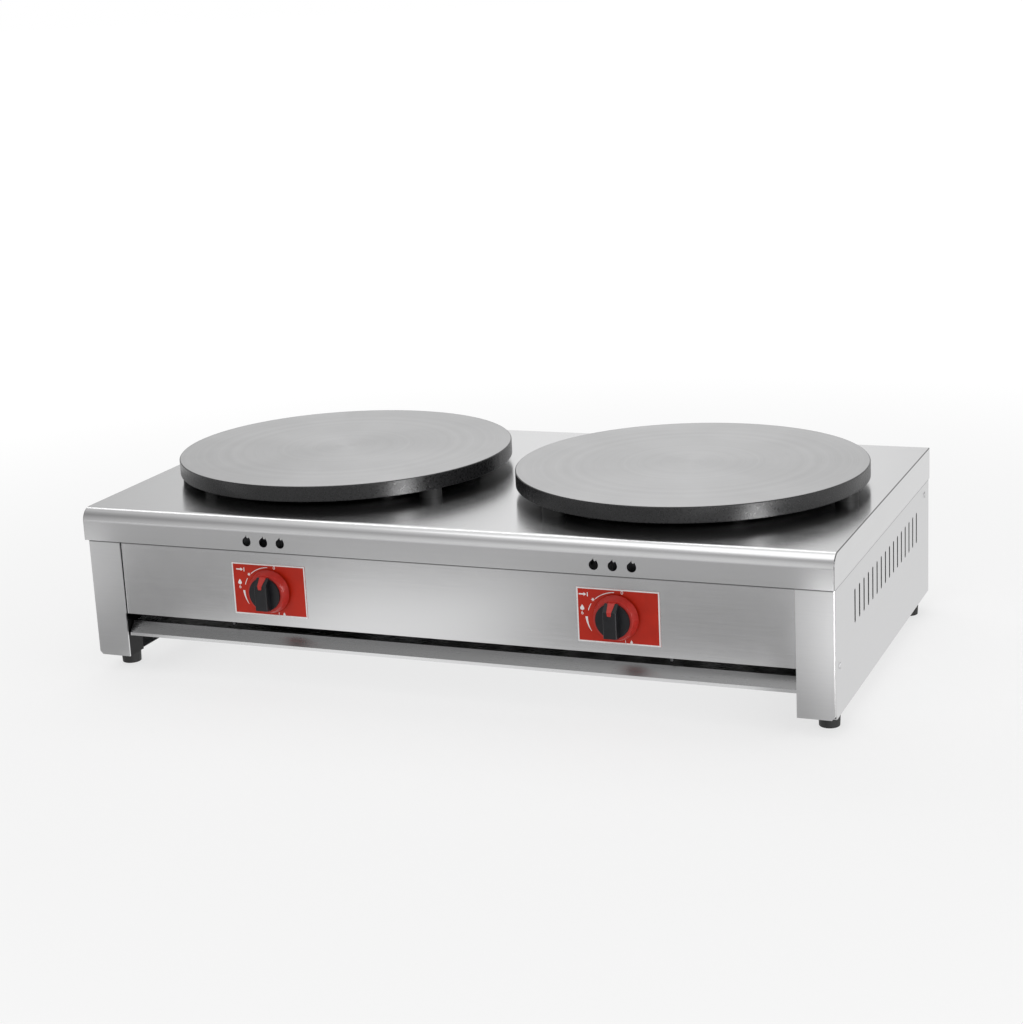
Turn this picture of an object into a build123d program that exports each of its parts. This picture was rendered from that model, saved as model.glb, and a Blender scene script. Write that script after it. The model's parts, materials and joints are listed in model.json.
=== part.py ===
from build123d import *
import os
from math import cos, radians, sin, sqrt

os.makedirs("parts", exist_ok=True)

# A double gas crepe maker: two round cast-iron plates on a stainless case.
# X runs left to right, the front is at -Y, and Z = 0 is the table.
# The origin is on the table, midway between the knobs and the gas inlet.

# Case
case_width = 882.0
case_depth = 472.0
cover_top = 197.5
apron_height = 37.0
cover_sheet = 1.0
bullnose_radius = 15.0
cover_edge_radius = 1.2
panel_sheet = 1.0
nesting_gap = 0.2

# Side panels with the front legs folded from them
leg_setback = 6.0
leg_width = 41.0
leg_return = 30.0
leg_headroom = 16.0
leg_corner_cut = 4.5
leg_bend_radius = 1.5
bottom_flange = 37.8
top_flange = 16.0
slot_count = 16
slot_pitch = 20.6
slot_width = 4.8
slot_height = 37.0
slot_offset_y = 10.3
slot_middle_z = 117.35

# Control panel
panel_setback = 3.0
panel_bottom = 72.0
panel_shelf = 46.0
panel_top_flange = 8.0
panel_headroom = 12.0
strap_window_gap = 2.0
panel_return = 24.0
panel_return_inset = 2.0
stem_hole_radius = 7.0
sight_slot_width = 62.0
sight_slot_height = 18.0
flame_width = 10.4
flame_height = 14.0
flame_waist = 4.6
tongue_x = 3.3
tongue_z = 5.6
notch_x = 1.8
notch_z = 4.3
flame_pitch = 21.0
flame_middle_z = 171.0
flame_hole_count = 3

# Rear panel
rear_panel_bottom = 30.0
rear_return = 30.0
rear_return_bottom = 84.0
rear_return_top = 160.0
vent_count = 14
vent_pitch = 46.0
vent_width = 5.0
vent_height = 44.0
vent_middle_z = 140.0

# Crepe plates
plate_gap = 36.0
plate_side_margin = 23.0
plate_y = 4.0
plate_thickness = 18.0
plate_edge = 0.8
plate_foot_radius = 13.0
plate_foot_height = 10.5
plate_foot_inset = 15.0
plate_foot_count = 3
left_foot_angle = -32.8
right_foot_angle = -7.0
skirt_rib_inset = 42.0
skirt_rib_width = 6.0
skirt_rib_height = 6.0
recess_gap = 5.0
recess_depth = 7.0
dowel_radius = 4.0
dowel_length = 7.5
dowel_clearance = 0.6

# Burner openings in the cover
opening_inset = 50.0
collar_height = 5.0
collar_sheet = 1.0

# Burners
burner_top = 178.0
arm_radius = 8.0
arm_wall = 2.0
arm_count = 8
arm_inset = 70.0
port_radius = 1.1
port_pitch = 14.0
port_count = 7
hub_radius = 32.0
hub_bottom = 152.0
hub_floor = 6.0
hub_wall = 4.0
mixer_z = 131.0
mixer_radius = 11.0
mixer_wall = 2.0
mixer_bend = 15.0
mixer_spigot = 10.0
mixer_cup_radius = 16.0
mixer_cup_length = 26.0
mixer_cone_length = 20.0
mixer_setback = 78.0
nose_radius = 6.0
nose_wall = 1.4
nose_length = 5.0
window_radius = 3.4
window_circle = 10.5
window_count = 4
shutter_radius = 15.5
shutter_thickness = 1.5
shutter_gap = 0.3
shutter_tab_reach = 22.0
shutter_tab_width = 7.0
shutter_tab_angle = -30.0
running_clearance = 0.05

# Burner brackets and the crossbars that carry them and the cover
crossbar_width = 24.0
crossbar_height = 15.0
crossbar_wall = 1.5
crossbar_plate_height = 30.0
front_bar_inset = 36.0
rear_bar_inset = 31.0
bracket_width = 48.0
bracket_thickness = 3.0
bracket_tab = 12.0
hub_screw_spacing = 40.0
tab_screw_spacing = 24.0

# Gas valves, which stand on the manifold behind the control panel
valve_offset_x = 12.0
valve_z = 113.0
valve_gap = 3.0
bonnet_thickness = 2.5
bonnet_width = 34.0
bonnet_height = 22.0
bonnet_screw_spacing = 24.4
barrel_radius = 16.0
barrel_length = 37.5
plug_front_radius = 8.0
plug_rear_radius = 6.5
plug_length = 24.0
plug_play = 0.2
plug_floor = 2.0
plug_port_radius = 2.5
chamber_radius = 4.0
magnet_bore_radius = 5.0
magnet_bore_length = 6.0
outlet_radius = 8.0
outlet_length = 24.0
outlet_bore_radius = 3.5
outlet_bore_length = 8.0
outlet_arm_width = 14.0
valve_foot_width = 12.0
valve_foot_depth = 42.0
valve_foot_height = 9.0
inlet_spigot_radius = 3.0
igniter_shelf_width = 16.0
igniter_shelf_depth = 16.0
stem_radius = 4.0
stem_flat = 3.0
stem_front_cover = 3.0
push_travel = 2.5
pin_radius = 1.2
pin_reach = 16.0
spring_radius = 2.5
spring_wire = 0.7
spring_turns = 6
magnet_hex = 13.0
magnet_hex_length = 6.0
magnet_can_radius = 5.5
magnet_can_length = 9.0

# Injectors
injector_hex = 12.0
injector_hex_length = 6.0
injector_body_radius = 4.0
injector_body_length = 10.0
injector_tip_radius = 3.0
injector_tip_length = 5.0
injector_orifice_radius = 0.6
injector_bore_radius = 2.0

# Manifold, straps, supply pipe and inlet
manifold_radius = 9.0
manifold_wall = 1.5
manifold_setback = 33.0
manifold_overhang = 34.0
strap_sheet = 1.5
strap_width = 12.0
strap_ear = 10.0
strap_clearance = 0.1
shelf_strap_inset = 38.0
supply_radius = 7.0
supply_wall = 1.5
supply_inset = 111.0
supply_run = 30.0
supply_bend = 16.0
supply_insert = 5.0
inlet_thread_radius = 10.48
inlet_bore_radius = 5.0
inlet_hex = 27.0
inlet_body_length = 30.0
inlet_socket = 8.0
locknut_thickness = 5.0
relief_width = 1.0
relief_depth = 0.7

# Ignition and flame sensing
igniter_width = 13.0
igniter_depth = 15.0
igniter_height = 20.0
igniter_offset_x = -8.0
terminal_radius = 2.0
terminal_length = 3.0
lead_radius = 1.5
lead_drop = 4.0
lead_end_gap = 0.3
lead_bow = 10.0
lead_bow_radius = 180.0
probe_offset_x = 16.0
probe_offset_y = 60.0
probe_collar_radius = 4.5
probe_collar_height = 2.0
electrode_radius = 3.0
electrode_bottom = 141.0
electrode_top = 172.0
electrode_tip_radius = 1.0
electrode_tip_top = 180.0
thermocouple_radius = 2.5
thermocouple_bottom = 139.0
thermocouple_top = 178.0
capillary_radius = 1.25
capillary_run_back = 50.0
capillary_bend = 10.0
capillary_sweep = 30.0
capillary_nut_radius = 5.0
capillary_nut_length = 8.0

# Dial plates and knobs
dial_width = 92.0
dial_height = 60.0
dial_thickness = 0.5
dial_offset_x = 1.5
dial_offset_z = 0.5
knob_gap = 3.0
skirt_radius = 25.0
skirt_front_radius = 22.0
skirt_depth = 10.0
skirt_wall = 2.0
grip_disc_radius = 19.0
grip_disc_depth = 2.5
grip_width = 15.0
grip_reach_up = 19.6
grip_reach_down = 18.2
grip_depth = 9.0
grip_ramp = 7.5
grip_heel = 1.5
grip_edge_radius = 1.5
boss_radius = 7.0
pointer_proud = 0.3
pointer_depth = 1.5
pointer_tip_width = 3.6
pointer_root_width = 8.4
pointer_tip_z = 8.0
knob_fit = 0.05

# Crumb tray and its runners
tray_side_gap = 1.2
tray_sheet = 1.0
tray_bottom = 45.0
tray_height = 15.0
tray_lip = 3.6
tray_front_inset = 10.0
tray_slope = 10.0
tray_hem = 5.0
tray_back_inset = 36.0
runner_gap = 0.3
runner_sheet = 1.0
runner_reach = 53.8
runner_top = 80.0
runner_front_gap = 2.0

# Feet
foot_height = 20.0
foot_top_radius = 12.0
foot_bottom_radius = 11.0
foot_edge = 0.8
foot_side_inset = 18.0
front_foot_inset = 46.0
rear_foot_inset = 36.0
foot_recess_radius = 5.5
foot_recess_depth = 9.0
foot_bolt_radius = 2.5
foot_bolt_head_radius = 4.4
foot_bolt_head_height = 3.0
foot_bolt_end = 1.5
foot_nut_hex = 8.0
foot_nut_height = 3.5

# Screws and rivets
m4_radius = 2.0
m4_length = 8.0
m4_head_radius = 3.5
m4_head_height = 2.4
m4_socket = 2.5
m4_socket_depth = 1.4
screw_clearance = 0.05
panel_screw_inset = 12.0
panel_screw_low_z = 92.0
panel_screw_high_z = 160.0
rivet_radius = 2.0
rivet_head_radius = 3.5
rivet_head_height = 0.8
rivet_tail = 0.8
front_rivet_inset = 19.4
front_rivet_z = 73.7
rear_rivet_inset = 23.1
rear_rivet_z = 145.6

# How far a cut runs past the face that it opens
overrun = 2.0

# Planes of the case, worked out from the sizes above
front_y = -case_depth / 2
rear_y = case_depth / 2
right_x = case_width / 2
plate_radius = (right_x - plate_side_margin - plate_gap / 2) / 2
plate_x = plate_radius + plate_gap / 2
valve_x = plate_x - valve_offset_x
plate_foot_circle = plate_radius - plate_foot_inset
skirt_rib_radius = plate_radius - skirt_rib_inset
opening_radius = plate_radius - opening_inset
arm_reach = plate_radius - arm_inset
mixer_mouth_y = front_y + mixer_setback
front_bar_y = front_y + front_bar_inset
rear_bar_y = rear_y - rear_bar_inset
manifold_y = front_y + manifold_setback
supply_x = right_x - supply_inset
manifold_end_x = supply_x - supply_run
shelf_strap_x = manifold_end_x - shelf_strap_inset
tray_front_y = front_y + tray_front_inset
tray_back_y = rear_y - tray_back_inset
foot_x = right_x - foot_side_inset
front_foot_y = front_y + front_foot_inset
rear_foot_y = rear_y - rear_foot_inset
cover_under = cover_top - cover_sheet
side_outer = case_width / 2 - cover_sheet - nesting_gap
side_inner = side_outer - panel_sheet
back_outer = rear_y - cover_sheet - nesting_gap
back_inner = back_outer - panel_sheet
locknut_rear = back_outer + locknut_thickness
leg_front = front_y + leg_setback
leg_inner = side_outer - leg_width
leg_back = leg_front + leg_return
leg_top = cover_under - leg_headroom
panel_front = leg_front + panel_setback
panel_back = panel_front + panel_sheet
panel_half = leg_inner - nesting_gap
panel_top = cover_under - panel_headroom
shelf_top = panel_bottom + panel_sheet
plate_bottom = cover_top + plate_foot_height
m4_hole = m4_radius + screw_clearance
rivet_hole = rivet_radius + screw_clearance
front_rivet_y = leg_front + front_rivet_inset
rear_rivet_y = back_outer - rear_rivet_inset

# Stations of the valve train along Y, from the panel towards the burner
bonnet_front = panel_back + valve_gap
barrel_front = bonnet_front + bonnet_thickness
barrel_rear = barrel_front + barrel_length
plug_front = barrel_front + plug_play
plug_rear = plug_front + plug_length
outlet_rear = barrel_rear + overrun / 2
outlet_front = outlet_rear - outlet_length
injector_front = outlet_rear + injector_hex_length
injector_shoulder = injector_front + injector_body_length
injector_tip = injector_shoulder + injector_tip_length
dial_front = panel_front - dial_thickness
skirt_back = dial_front - knob_gap
skirt_front = skirt_back - skirt_depth
disc_front = skirt_front - grip_disc_depth
grip_front = disc_front - grip_depth
knob_front = grip_front - pointer_proud
stem_front = grip_front + stem_front_cover
stem_rear = plug_rear - plug_floor - spring_turns * spring_wire - push_travel * 2
magnet_face = barrel_rear - magnet_bore_length
magnet_hex_rear = barrel_rear + magnet_hex_length
magnet_rear = magnet_hex_rear + magnet_can_length
capillary_nut_rear = magnet_rear + capillary_nut_length
inlet_end = -knob_front

# Heights of the manifold and what stands on it
manifold_z = shelf_top + manifold_radius + strap_clearance
strap_rise = manifold_radius + strap_clearance
valve_foot_bottom = manifold_z + strap_rise
arm_z = burner_top - arm_radius
bracket_bottom = hub_bottom - bracket_thickness
crossbar_bottom = cover_under - crossbar_height
igniter_bottom = valve_z + barrel_radius
lead_z = igniter_bottom + igniter_height - lead_drop
strap_screw_y = strap_rise + strap_sheet + strap_ear / 2
tab_screw_reach = (bracket_thickness / 2 + bracket_tab) / 2
tray_half = leg_inner - tray_side_gap
tray_top = tray_bottom + tray_height
sides = {"left": -1, "right": 1}


def save(piece, name):
    """Label a finished piece and write it to its own file."""
    piece.part.label = name
    export_step(piece.part, f"parts/{name}.step")


def block(x_ends, y_ends, z_ends, mode=Mode.ADD):
    """A box between two ends along each axis, given in any order."""
    middle = tuple(sum(ends) / 2 for ends in (x_ends, y_ends, z_ends))
    size = [abs(ends[1] - ends[0]) for ends in (x_ends, y_ends, z_ends)]
    with Locations(middle):
        Box(*size, mode=mode)


def rod_y(x, z, y_ends, radius, mode=Mode.ADD):
    """A round bar along Y."""
    with Locations((x, sum(y_ends) / 2, z)):
        Cylinder(radius, abs(y_ends[1] - y_ends[0]), rotation=(90, 0, 0), mode=mode)


def rod_x(y, z, x_ends, radius, mode=Mode.ADD):
    """A round bar along X."""
    with Locations((sum(x_ends) / 2, y, z)):
        Cylinder(radius, abs(x_ends[1] - x_ends[0]), rotation=(0, 90, 0), mode=mode)


def rod_z(x, y, z_ends, radius, mode=Mode.ADD):
    """A round bar along Z."""
    with Locations((x, y, sum(z_ends) / 2)):
        Cylinder(radius, abs(z_ends[1] - z_ends[0]), mode=mode)


def taper_y(x, z, y_ends, front_radius, rear_radius, mode=Mode.ADD):
    """A cone along Y with its own radius at the front and at the rear."""
    with Locations((x, sum(y_ends) / 2, z)):
        Cone(rear_radius, front_radius, abs(y_ends[1] - y_ends[0]), rotation=(90, 0, 0), mode=mode)


def front_plane(y):
    """The plane at y that is seen from the front, with X to the right and Z up."""
    return Plane(origin=(0, y, 0), x_dir=(1, 0, 0), z_dir=(0, -1, 0))


def plate_foot_places(side):
    """Centres of the feet under the crepe plate on one side."""
    first = left_foot_angle if side < 0 else right_foot_angle
    turns = [radians(first + 360 * n / plate_foot_count) for n in range(plate_foot_count)]
    return [
        (side * plate_x + plate_foot_circle * cos(t), plate_y + plate_foot_circle * sin(t))
        for t in turns
    ]


# Top cover, with the rolled front edge, burner openings and flame-shaped sight holes
with BuildSketch() as flame:
    with BuildLine():
        belly = flame_width / 2
        tip = (0, flame_height - belly)
        ThreePointArc((-belly, 0), (0, -belly), (belly, 0))
        Bezier((belly, 0), (belly, belly / 2), (tongue_x, tongue_z))
        Line((tongue_x, tongue_z), (notch_x, notch_z))
        Bezier((notch_x, notch_z), (0, flame_waist), tip)
        Bezier(tip, (0, flame_waist), (-belly, belly), (-belly, 0))
    make_face()

with BuildPart() as top_cover:
    with BuildSketch(Plane.YZ):
        with Locations((0, cover_top - apron_height / 2)):
            Rectangle(case_depth, apron_height)
        fillet(vertices().group_by(Axis.Y)[-1].sort_by(Axis.X)[0], radius=bullnose_radius)
    extrude(amount=case_width / 2, both=True)
    for end in (faces().sort_by(Axis.X)[0], faces().sort_by(Axis.X)[-1]):
        fillet(end.edges().group_by(Axis.Z)[1:], radius=cover_edge_radius)
    with BuildSketch(Plane.YZ):
        with Locations((0, cover_under - apron_height / 2)):
            Rectangle(case_depth - 2 * cover_sheet, apron_height)
        fillet(
            vertices().group_by(Axis.Y)[-1].sort_by(Axis.X)[0],
            radius=bullnose_radius - cover_sheet,
        )
    extrude(amount=case_width / 2 - cover_sheet, both=True, mode=Mode.SUBTRACT)
    with BuildSketch(Plane.XY.offset(cover_under)):
        with Locations((-plate_x, plate_y), (plate_x, plate_y)):
            Circle(opening_radius + collar_sheet)
    extrude(amount=cover_sheet + collar_height)
    with BuildSketch(Plane.XY.offset(cover_under)):
        with Locations((-plate_x, plate_y), (plate_x, plate_y)):
            Circle(opening_radius)
        with Locations(*plate_foot_places(-1), *plate_foot_places(1)):
            Circle(dowel_radius + dowel_clearance)
    extrude(amount=cover_sheet + collar_height, mode=Mode.SUBTRACT)
    with BuildSketch(front_plane(front_y)):
        for side in sides.values():
            with Locations((side * valve_x, flame_middle_z)):
                with GridLocations(flame_pitch, 0, flame_hole_count, 1):
                    add(flame.sketch)
    extrude(amount=-2 * cover_sheet, mode=Mode.SUBTRACT)
save(top_cover, "top_cover")


def make_side_panel(name, side):
    """One folded sheet with the front leg, both flanges and pressed-in nuts for the feet."""
    with BuildPart() as panel:
        with BuildSketch(Plane.XY.offset(foot_height)):
            with BuildLine():
                Polyline(
                    (side * side_outer, back_outer),
                    (side * side_outer, leg_front),
                    (side * leg_inner, leg_front),
                    (side * leg_inner, leg_back),
                    (side * (leg_inner + panel_sheet), leg_back),
                    (side * (leg_inner + panel_sheet), leg_front + panel_sheet),
                    (side * side_inner, leg_front + panel_sheet),
                    (side * side_inner, back_outer),
                    close=True,
                )
            make_face()
            corners = vertices()
            for x in (side_outer, leg_inner):
                fillet(
                    corners.sort_by_distance((side * x, leg_front, 0))[0],
                    radius=leg_bend_radius,
                )
            for x in (side_inner, leg_inner + panel_sheet):
                fillet(
                    vertices().sort_by_distance((side * x, leg_front + panel_sheet, 0))[0],
                    radius=leg_bend_radius - panel_sheet,
                )
        extrude(amount=leg_top - foot_height)
        upper_front = leg_front + leg_headroom
        side_sheet = (side * side_inner, side * side_outer)
        block(side_sheet, (upper_front, back_outer), (leg_top, cover_under))
        block(
            (side * (side_outer - top_flange), side * side_outer),
            (upper_front, back_inner),
            (cover_under - panel_sheet, cover_under),
        )
        block(
            (side * (side_outer - bottom_flange), side * side_inner),
            (leg_front + panel_sheet, back_inner),
            (foot_height, foot_height + panel_sheet),
        )
        cut = leg_corner_cut * sqrt(2)
        with Locations((side * side_outer, leg_front, foot_height)):
            Box(cut, 2 * leg_corner_cut, cut, rotation=(0, 45, 0), mode=Mode.SUBTRACT)
        with BuildSketch(Plane.YZ.offset(side * side_outer)):
            with Locations((slot_offset_y, slot_middle_z)):
                with GridLocations(slot_pitch, 0, slot_count, 1):
                    SlotOverall(slot_height, slot_width, rotation=90)
        extrude(amount=-side * 2 * panel_sheet, mode=Mode.SUBTRACT)
        through = (side * (side_inner - overrun), side * (side_outer + overrun))
        rod_x(front_rivet_y, front_rivet_z, through, rivet_hole, Mode.SUBTRACT)
        rod_x(rear_rivet_y, rear_rivet_z, through, rivet_hole, Mode.SUBTRACT)
        leg_sheet = (side * (leg_inner - overrun), side * (leg_inner + panel_sheet + overrun))
        for z in (panel_screw_low_z, panel_screw_high_z):
            rod_x(panel_front + panel_screw_inset, z, leg_sheet, m4_hole, Mode.SUBTRACT)
        nut_top = foot_height + panel_sheet + foot_nut_height
        with BuildSketch(Plane.XY.offset(foot_height)):
            with Locations((side * foot_x, front_foot_y), (side * foot_x, rear_foot_y)):
                RegularPolygon(foot_nut_hex / 2, 6, major_radius=False)
        extrude(amount=nut_top - foot_height)
        hole = (foot_height - overrun, nut_top + overrun)
        for y in (front_foot_y, rear_foot_y):
            rod_z(side * foot_x, y, hole, foot_bolt_radius + screw_clearance, Mode.SUBTRACT)
    save(panel, name)


for word, side in sides.items():
    make_side_panel(f"{word}_side_panel", side)

# Control panel between the legs, with a shelf along its foot that carries the manifold
with BuildPart() as control_panel:
    with BuildSketch(front_plane(panel_front)):
        with Locations((0, (panel_top + panel_bottom) / 2)):
            Rectangle(2 * panel_half, panel_top - panel_bottom)
        with Locations((-valve_x, valve_z), (valve_x, valve_z)):
            Circle(stem_hole_radius, mode=Mode.SUBTRACT)
        with Locations((-valve_x, flame_middle_z), (valve_x, flame_middle_z)):
            SlotOverall(sight_slot_width, sight_slot_height, mode=Mode.SUBTRACT)
    extrude(amount=-panel_sheet)
    full_width = (-panel_half, panel_half)
    block(full_width, (panel_back, panel_back + panel_shelf), (panel_bottom, shelf_top))
    flange_rear = panel_back + panel_top_flange
    block(full_width, (panel_back, flange_rear), (panel_top - panel_sheet, panel_top))
    for side in sides.values():
        return_sheet = (side * (panel_half - panel_sheet), side * panel_half)
        return_height = (shelf_top + panel_return_inset, panel_top - panel_sheet - panel_return_inset)
        block(return_sheet, (panel_back, panel_back + panel_return), return_height)
        through = (side * (panel_half - 2 * panel_sheet), side * (panel_half + panel_sheet))
        for z in (panel_screw_low_z, panel_screw_high_z):
            rod_x(panel_front + panel_screw_inset, z, through, m4_hole, Mode.SUBTRACT)
        window_x = strap_width / 2 + strap_window_gap
        window_y = strap_rise + strap_sheet + strap_window_gap
        block(
            (side * valve_x - window_x, side * valve_x + window_x),
            (manifold_y - window_y, manifold_y + window_y),
            (panel_bottom - overrun, shelf_top + overrun),
            Mode.SUBTRACT,
        )
        for reach in (-strap_screw_y, strap_screw_y):
            rod_z(
                side * shelf_strap_x,
                manifold_y + reach,
                (panel_bottom - overrun, shelf_top + overrun),
                m4_hole,
                Mode.SUBTRACT,
            )
save(control_panel, "control_panel")

# Rear panel with vents and the hole for the gas inlet
with BuildPart() as rear_panel:
    rear_half = side_inner - nesting_gap
    rear_top = cover_under - nesting_gap
    with BuildSketch(front_plane(back_inner)):
        with Locations((0, (rear_top + rear_panel_bottom) / 2)):
            Rectangle(2 * rear_half, rear_top - rear_panel_bottom)
        with Locations((0, vent_middle_z)):
            with GridLocations(vent_pitch, 0, vent_count, 1):
                SlotOverall(vent_height, vent_width, rotation=90, mode=Mode.SUBTRACT)
        with Locations((supply_x, manifold_z)):
            Circle(inlet_thread_radius + screw_clearance, mode=Mode.SUBTRACT)
    extrude(amount=-panel_sheet)
    for side in sides.values():
        return_sheet = (side * (rear_half - panel_sheet), side * rear_half)
        return_height = (rear_return_bottom, rear_return_top)
        block(return_sheet, (back_inner - rear_return, back_inner), return_height)
        through = (side * (rear_half - 2 * panel_sheet), side * (rear_half + panel_sheet))
        rod_x(rear_rivet_y, rear_rivet_z, through, rivet_hole, Mode.SUBTRACT)
save(rear_panel, "rear_panel")


def make_crossbar(name, y):
    """A square tube between the side panels, with a welded plate at each end."""
    outward = 1 if y > 0 else -1
    with BuildPart() as bar:
        ends = (-side_inner, side_inner)
        y_ends = (y - crossbar_width / 2, y + crossbar_width / 2)
        block(ends, y_ends, (crossbar_bottom, cover_under))
        block(
            (-side_inner + crossbar_wall, side_inner - crossbar_wall),
            (y_ends[0] + crossbar_wall, y_ends[1] - crossbar_wall),
            (crossbar_bottom + crossbar_wall, cover_under - crossbar_wall),
            Mode.SUBTRACT,
        )
        for side in sides.values():
            plate = (side * (side_inner - crossbar_wall), side * side_inner)
            top = cover_under - panel_sheet
            block(plate, y_ends, (cover_under - crossbar_plate_height, top))
            corner = (side * (side_outer - top_flange - nesting_gap), side * side_outer)
            block(corner, y_ends, (top, cover_under), Mode.SUBTRACT)
            for x in (-tab_screw_spacing / 2, tab_screw_spacing / 2):
                rod_z(
                    side * plate_x + x,
                    y + outward * tab_screw_reach,
                    (crossbar_bottom - overrun, crossbar_bottom + crossbar_wall + overrun),
                    m4_hole,
                    Mode.SUBTRACT,
                )
    save(bar, name)


make_crossbar("front_crossbar", front_bar_y)
make_crossbar("rear_crossbar", rear_bar_y)

# Crumb tray: a shallow pan with a sloping front and a lip along its lower edge
with BuildPart() as crumb_tray:
    slope_top_y = tray_front_y + tray_slope
    with BuildSketch(Plane.YZ):
        with BuildLine():
            Polyline(
                (tray_front_y, tray_bottom),
                (tray_front_y, tray_bottom + tray_lip),
                (slope_top_y, tray_top),
                (tray_back_y, tray_top),
                (tray_back_y, tray_bottom),
                close=True,
            )
        make_face()
    extrude(amount=tray_half, both=True)
    with BuildSketch(Plane.YZ):
        with BuildLine():
            inner_slope_y = slope_top_y + 2 * tray_sheet
            Polyline(
                (tray_front_y + tray_sheet, tray_bottom + tray_sheet),
                (tray_front_y + tray_sheet, tray_bottom + tray_lip - tray_sheet),
                (inner_slope_y, tray_top + tray_sheet),
                (tray_back_y - tray_sheet, tray_top + tray_sheet),
                (tray_back_y - tray_sheet, tray_bottom + tray_sheet),
                close=True,
            )
        make_face()
    extrude(amount=tray_half - tray_sheet, both=True, mode=Mode.SUBTRACT)
    block(
        (-tray_half, tray_half),
        (slope_top_y, slope_top_y + tray_hem),
        (tray_top - tray_sheet, tray_top),
    )
save(crumb_tray, "crumb_tray")


def make_tray_runner(name, side):
    """An angle on the side panel that the tray slides on."""
    with BuildPart() as runner:
        shelf_bottom = tray_bottom - runner_gap - runner_sheet
        block(
            (side * (side_inner - runner_reach), side * side_inner),
            (leg_back + runner_front_gap, tray_back_y),
            (shelf_bottom, shelf_bottom + runner_sheet),
        )
        block(
            (side * (side_inner - runner_sheet), side * side_inner),
            (leg_front + leg_setback, tray_back_y),
            (shelf_bottom, runner_top),
        )
        through = (side * (side_inner - overrun), side * (side_inner + overrun))
        rod_x(front_rivet_y, front_rivet_z, through, rivet_hole, Mode.SUBTRACT)
    save(runner, name)


def make_crepe_plate(name, side):
    """A cast-iron disc on feet, with dowels that drop through the cover."""
    with BuildPart() as plate:
        centre = (side * plate_x, plate_y)
        with BuildSketch(Plane.XY.offset(plate_bottom)):
            with Locations(centre):
                Circle(plate_radius)
        extrude(amount=plate_thickness)
        chamfer(edges(), length=plate_edge)
        with BuildSketch(Plane.XY.offset(plate_bottom)):
            with Locations(centre):
                Circle(skirt_rib_radius + skirt_rib_width / 2)
                Circle(skirt_rib_radius - skirt_rib_width / 2, mode=Mode.SUBTRACT)
        extrude(amount=-skirt_rib_height)
        with BuildSketch(Plane.XY.offset(plate_bottom)):
            with Locations(centre):
                Circle(skirt_rib_radius - skirt_rib_width / 2 - recess_gap)
        extrude(amount=recess_depth, mode=Mode.SUBTRACT)
        with BuildSketch(Plane.XY.offset(plate_bottom)):
            with Locations(*plate_foot_places(side)):
                Circle(plate_foot_radius)
        extrude(amount=-plate_foot_height)
        with BuildSketch(Plane.XY.offset(cover_top)):
            with Locations(*plate_foot_places(side)):
                Circle(dowel_radius)
        extrude(amount=-dowel_length)
    save(plate, name)


def make_burner_head(name, side):
    """A cast star burner: a hollow hub with closed arms and rows of flame ports."""
    with BuildPart() as head:
        x = side * plate_x
        rod_z(x, plate_y, (hub_bottom, burner_top), hub_radius)
        arm_seats = Plane(origin=(x, plate_y, arm_z))
        with Locations(arm_seats):
            with PolarLocations(0, arm_count):
                Cylinder(
                    arm_radius,
                    arm_reach,
                    rotation=(0, 90, 0),
                    align=(Align.CENTER, Align.CENTER, Align.MIN),
                )
        hollow = (hub_bottom + hub_floor, burner_top - hub_wall)
        rod_z(x, plate_y, hollow, hub_radius - hub_wall, Mode.SUBTRACT)
        with Locations(arm_seats):
            with PolarLocations(0, arm_count):
                Cylinder(
                    arm_radius - arm_wall,
                    arm_reach - arm_wall,
                    rotation=(0, 90, 0),
                    align=(Align.CENTER, Align.CENTER, Align.MIN),
                    mode=Mode.SUBTRACT,
                )
        rod_z(x, plate_y, hollow, mixer_radius, Mode.SUBTRACT)
        socket = (hub_bottom - overrun, hub_bottom + hub_floor)
        rod_z(x, plate_y, socket, mixer_radius + running_clearance, Mode.SUBTRACT)
        with BuildSketch(Plane.XY.offset(burner_top)):
            with Locations((x, plate_y)):
                for n in range(port_count):
                    reach = arm_reach - arm_radius - n * port_pitch
                    with PolarLocations(reach, arm_count):
                        Circle(port_radius)
        extrude(amount=-2 * arm_wall, mode=Mode.SUBTRACT)
        for spread in (-hub_screw_spacing / 2, hub_screw_spacing / 2):
            rod_z(x + spread, plate_y, socket, m4_hole, Mode.SUBTRACT)
    save(head, name)


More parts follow.
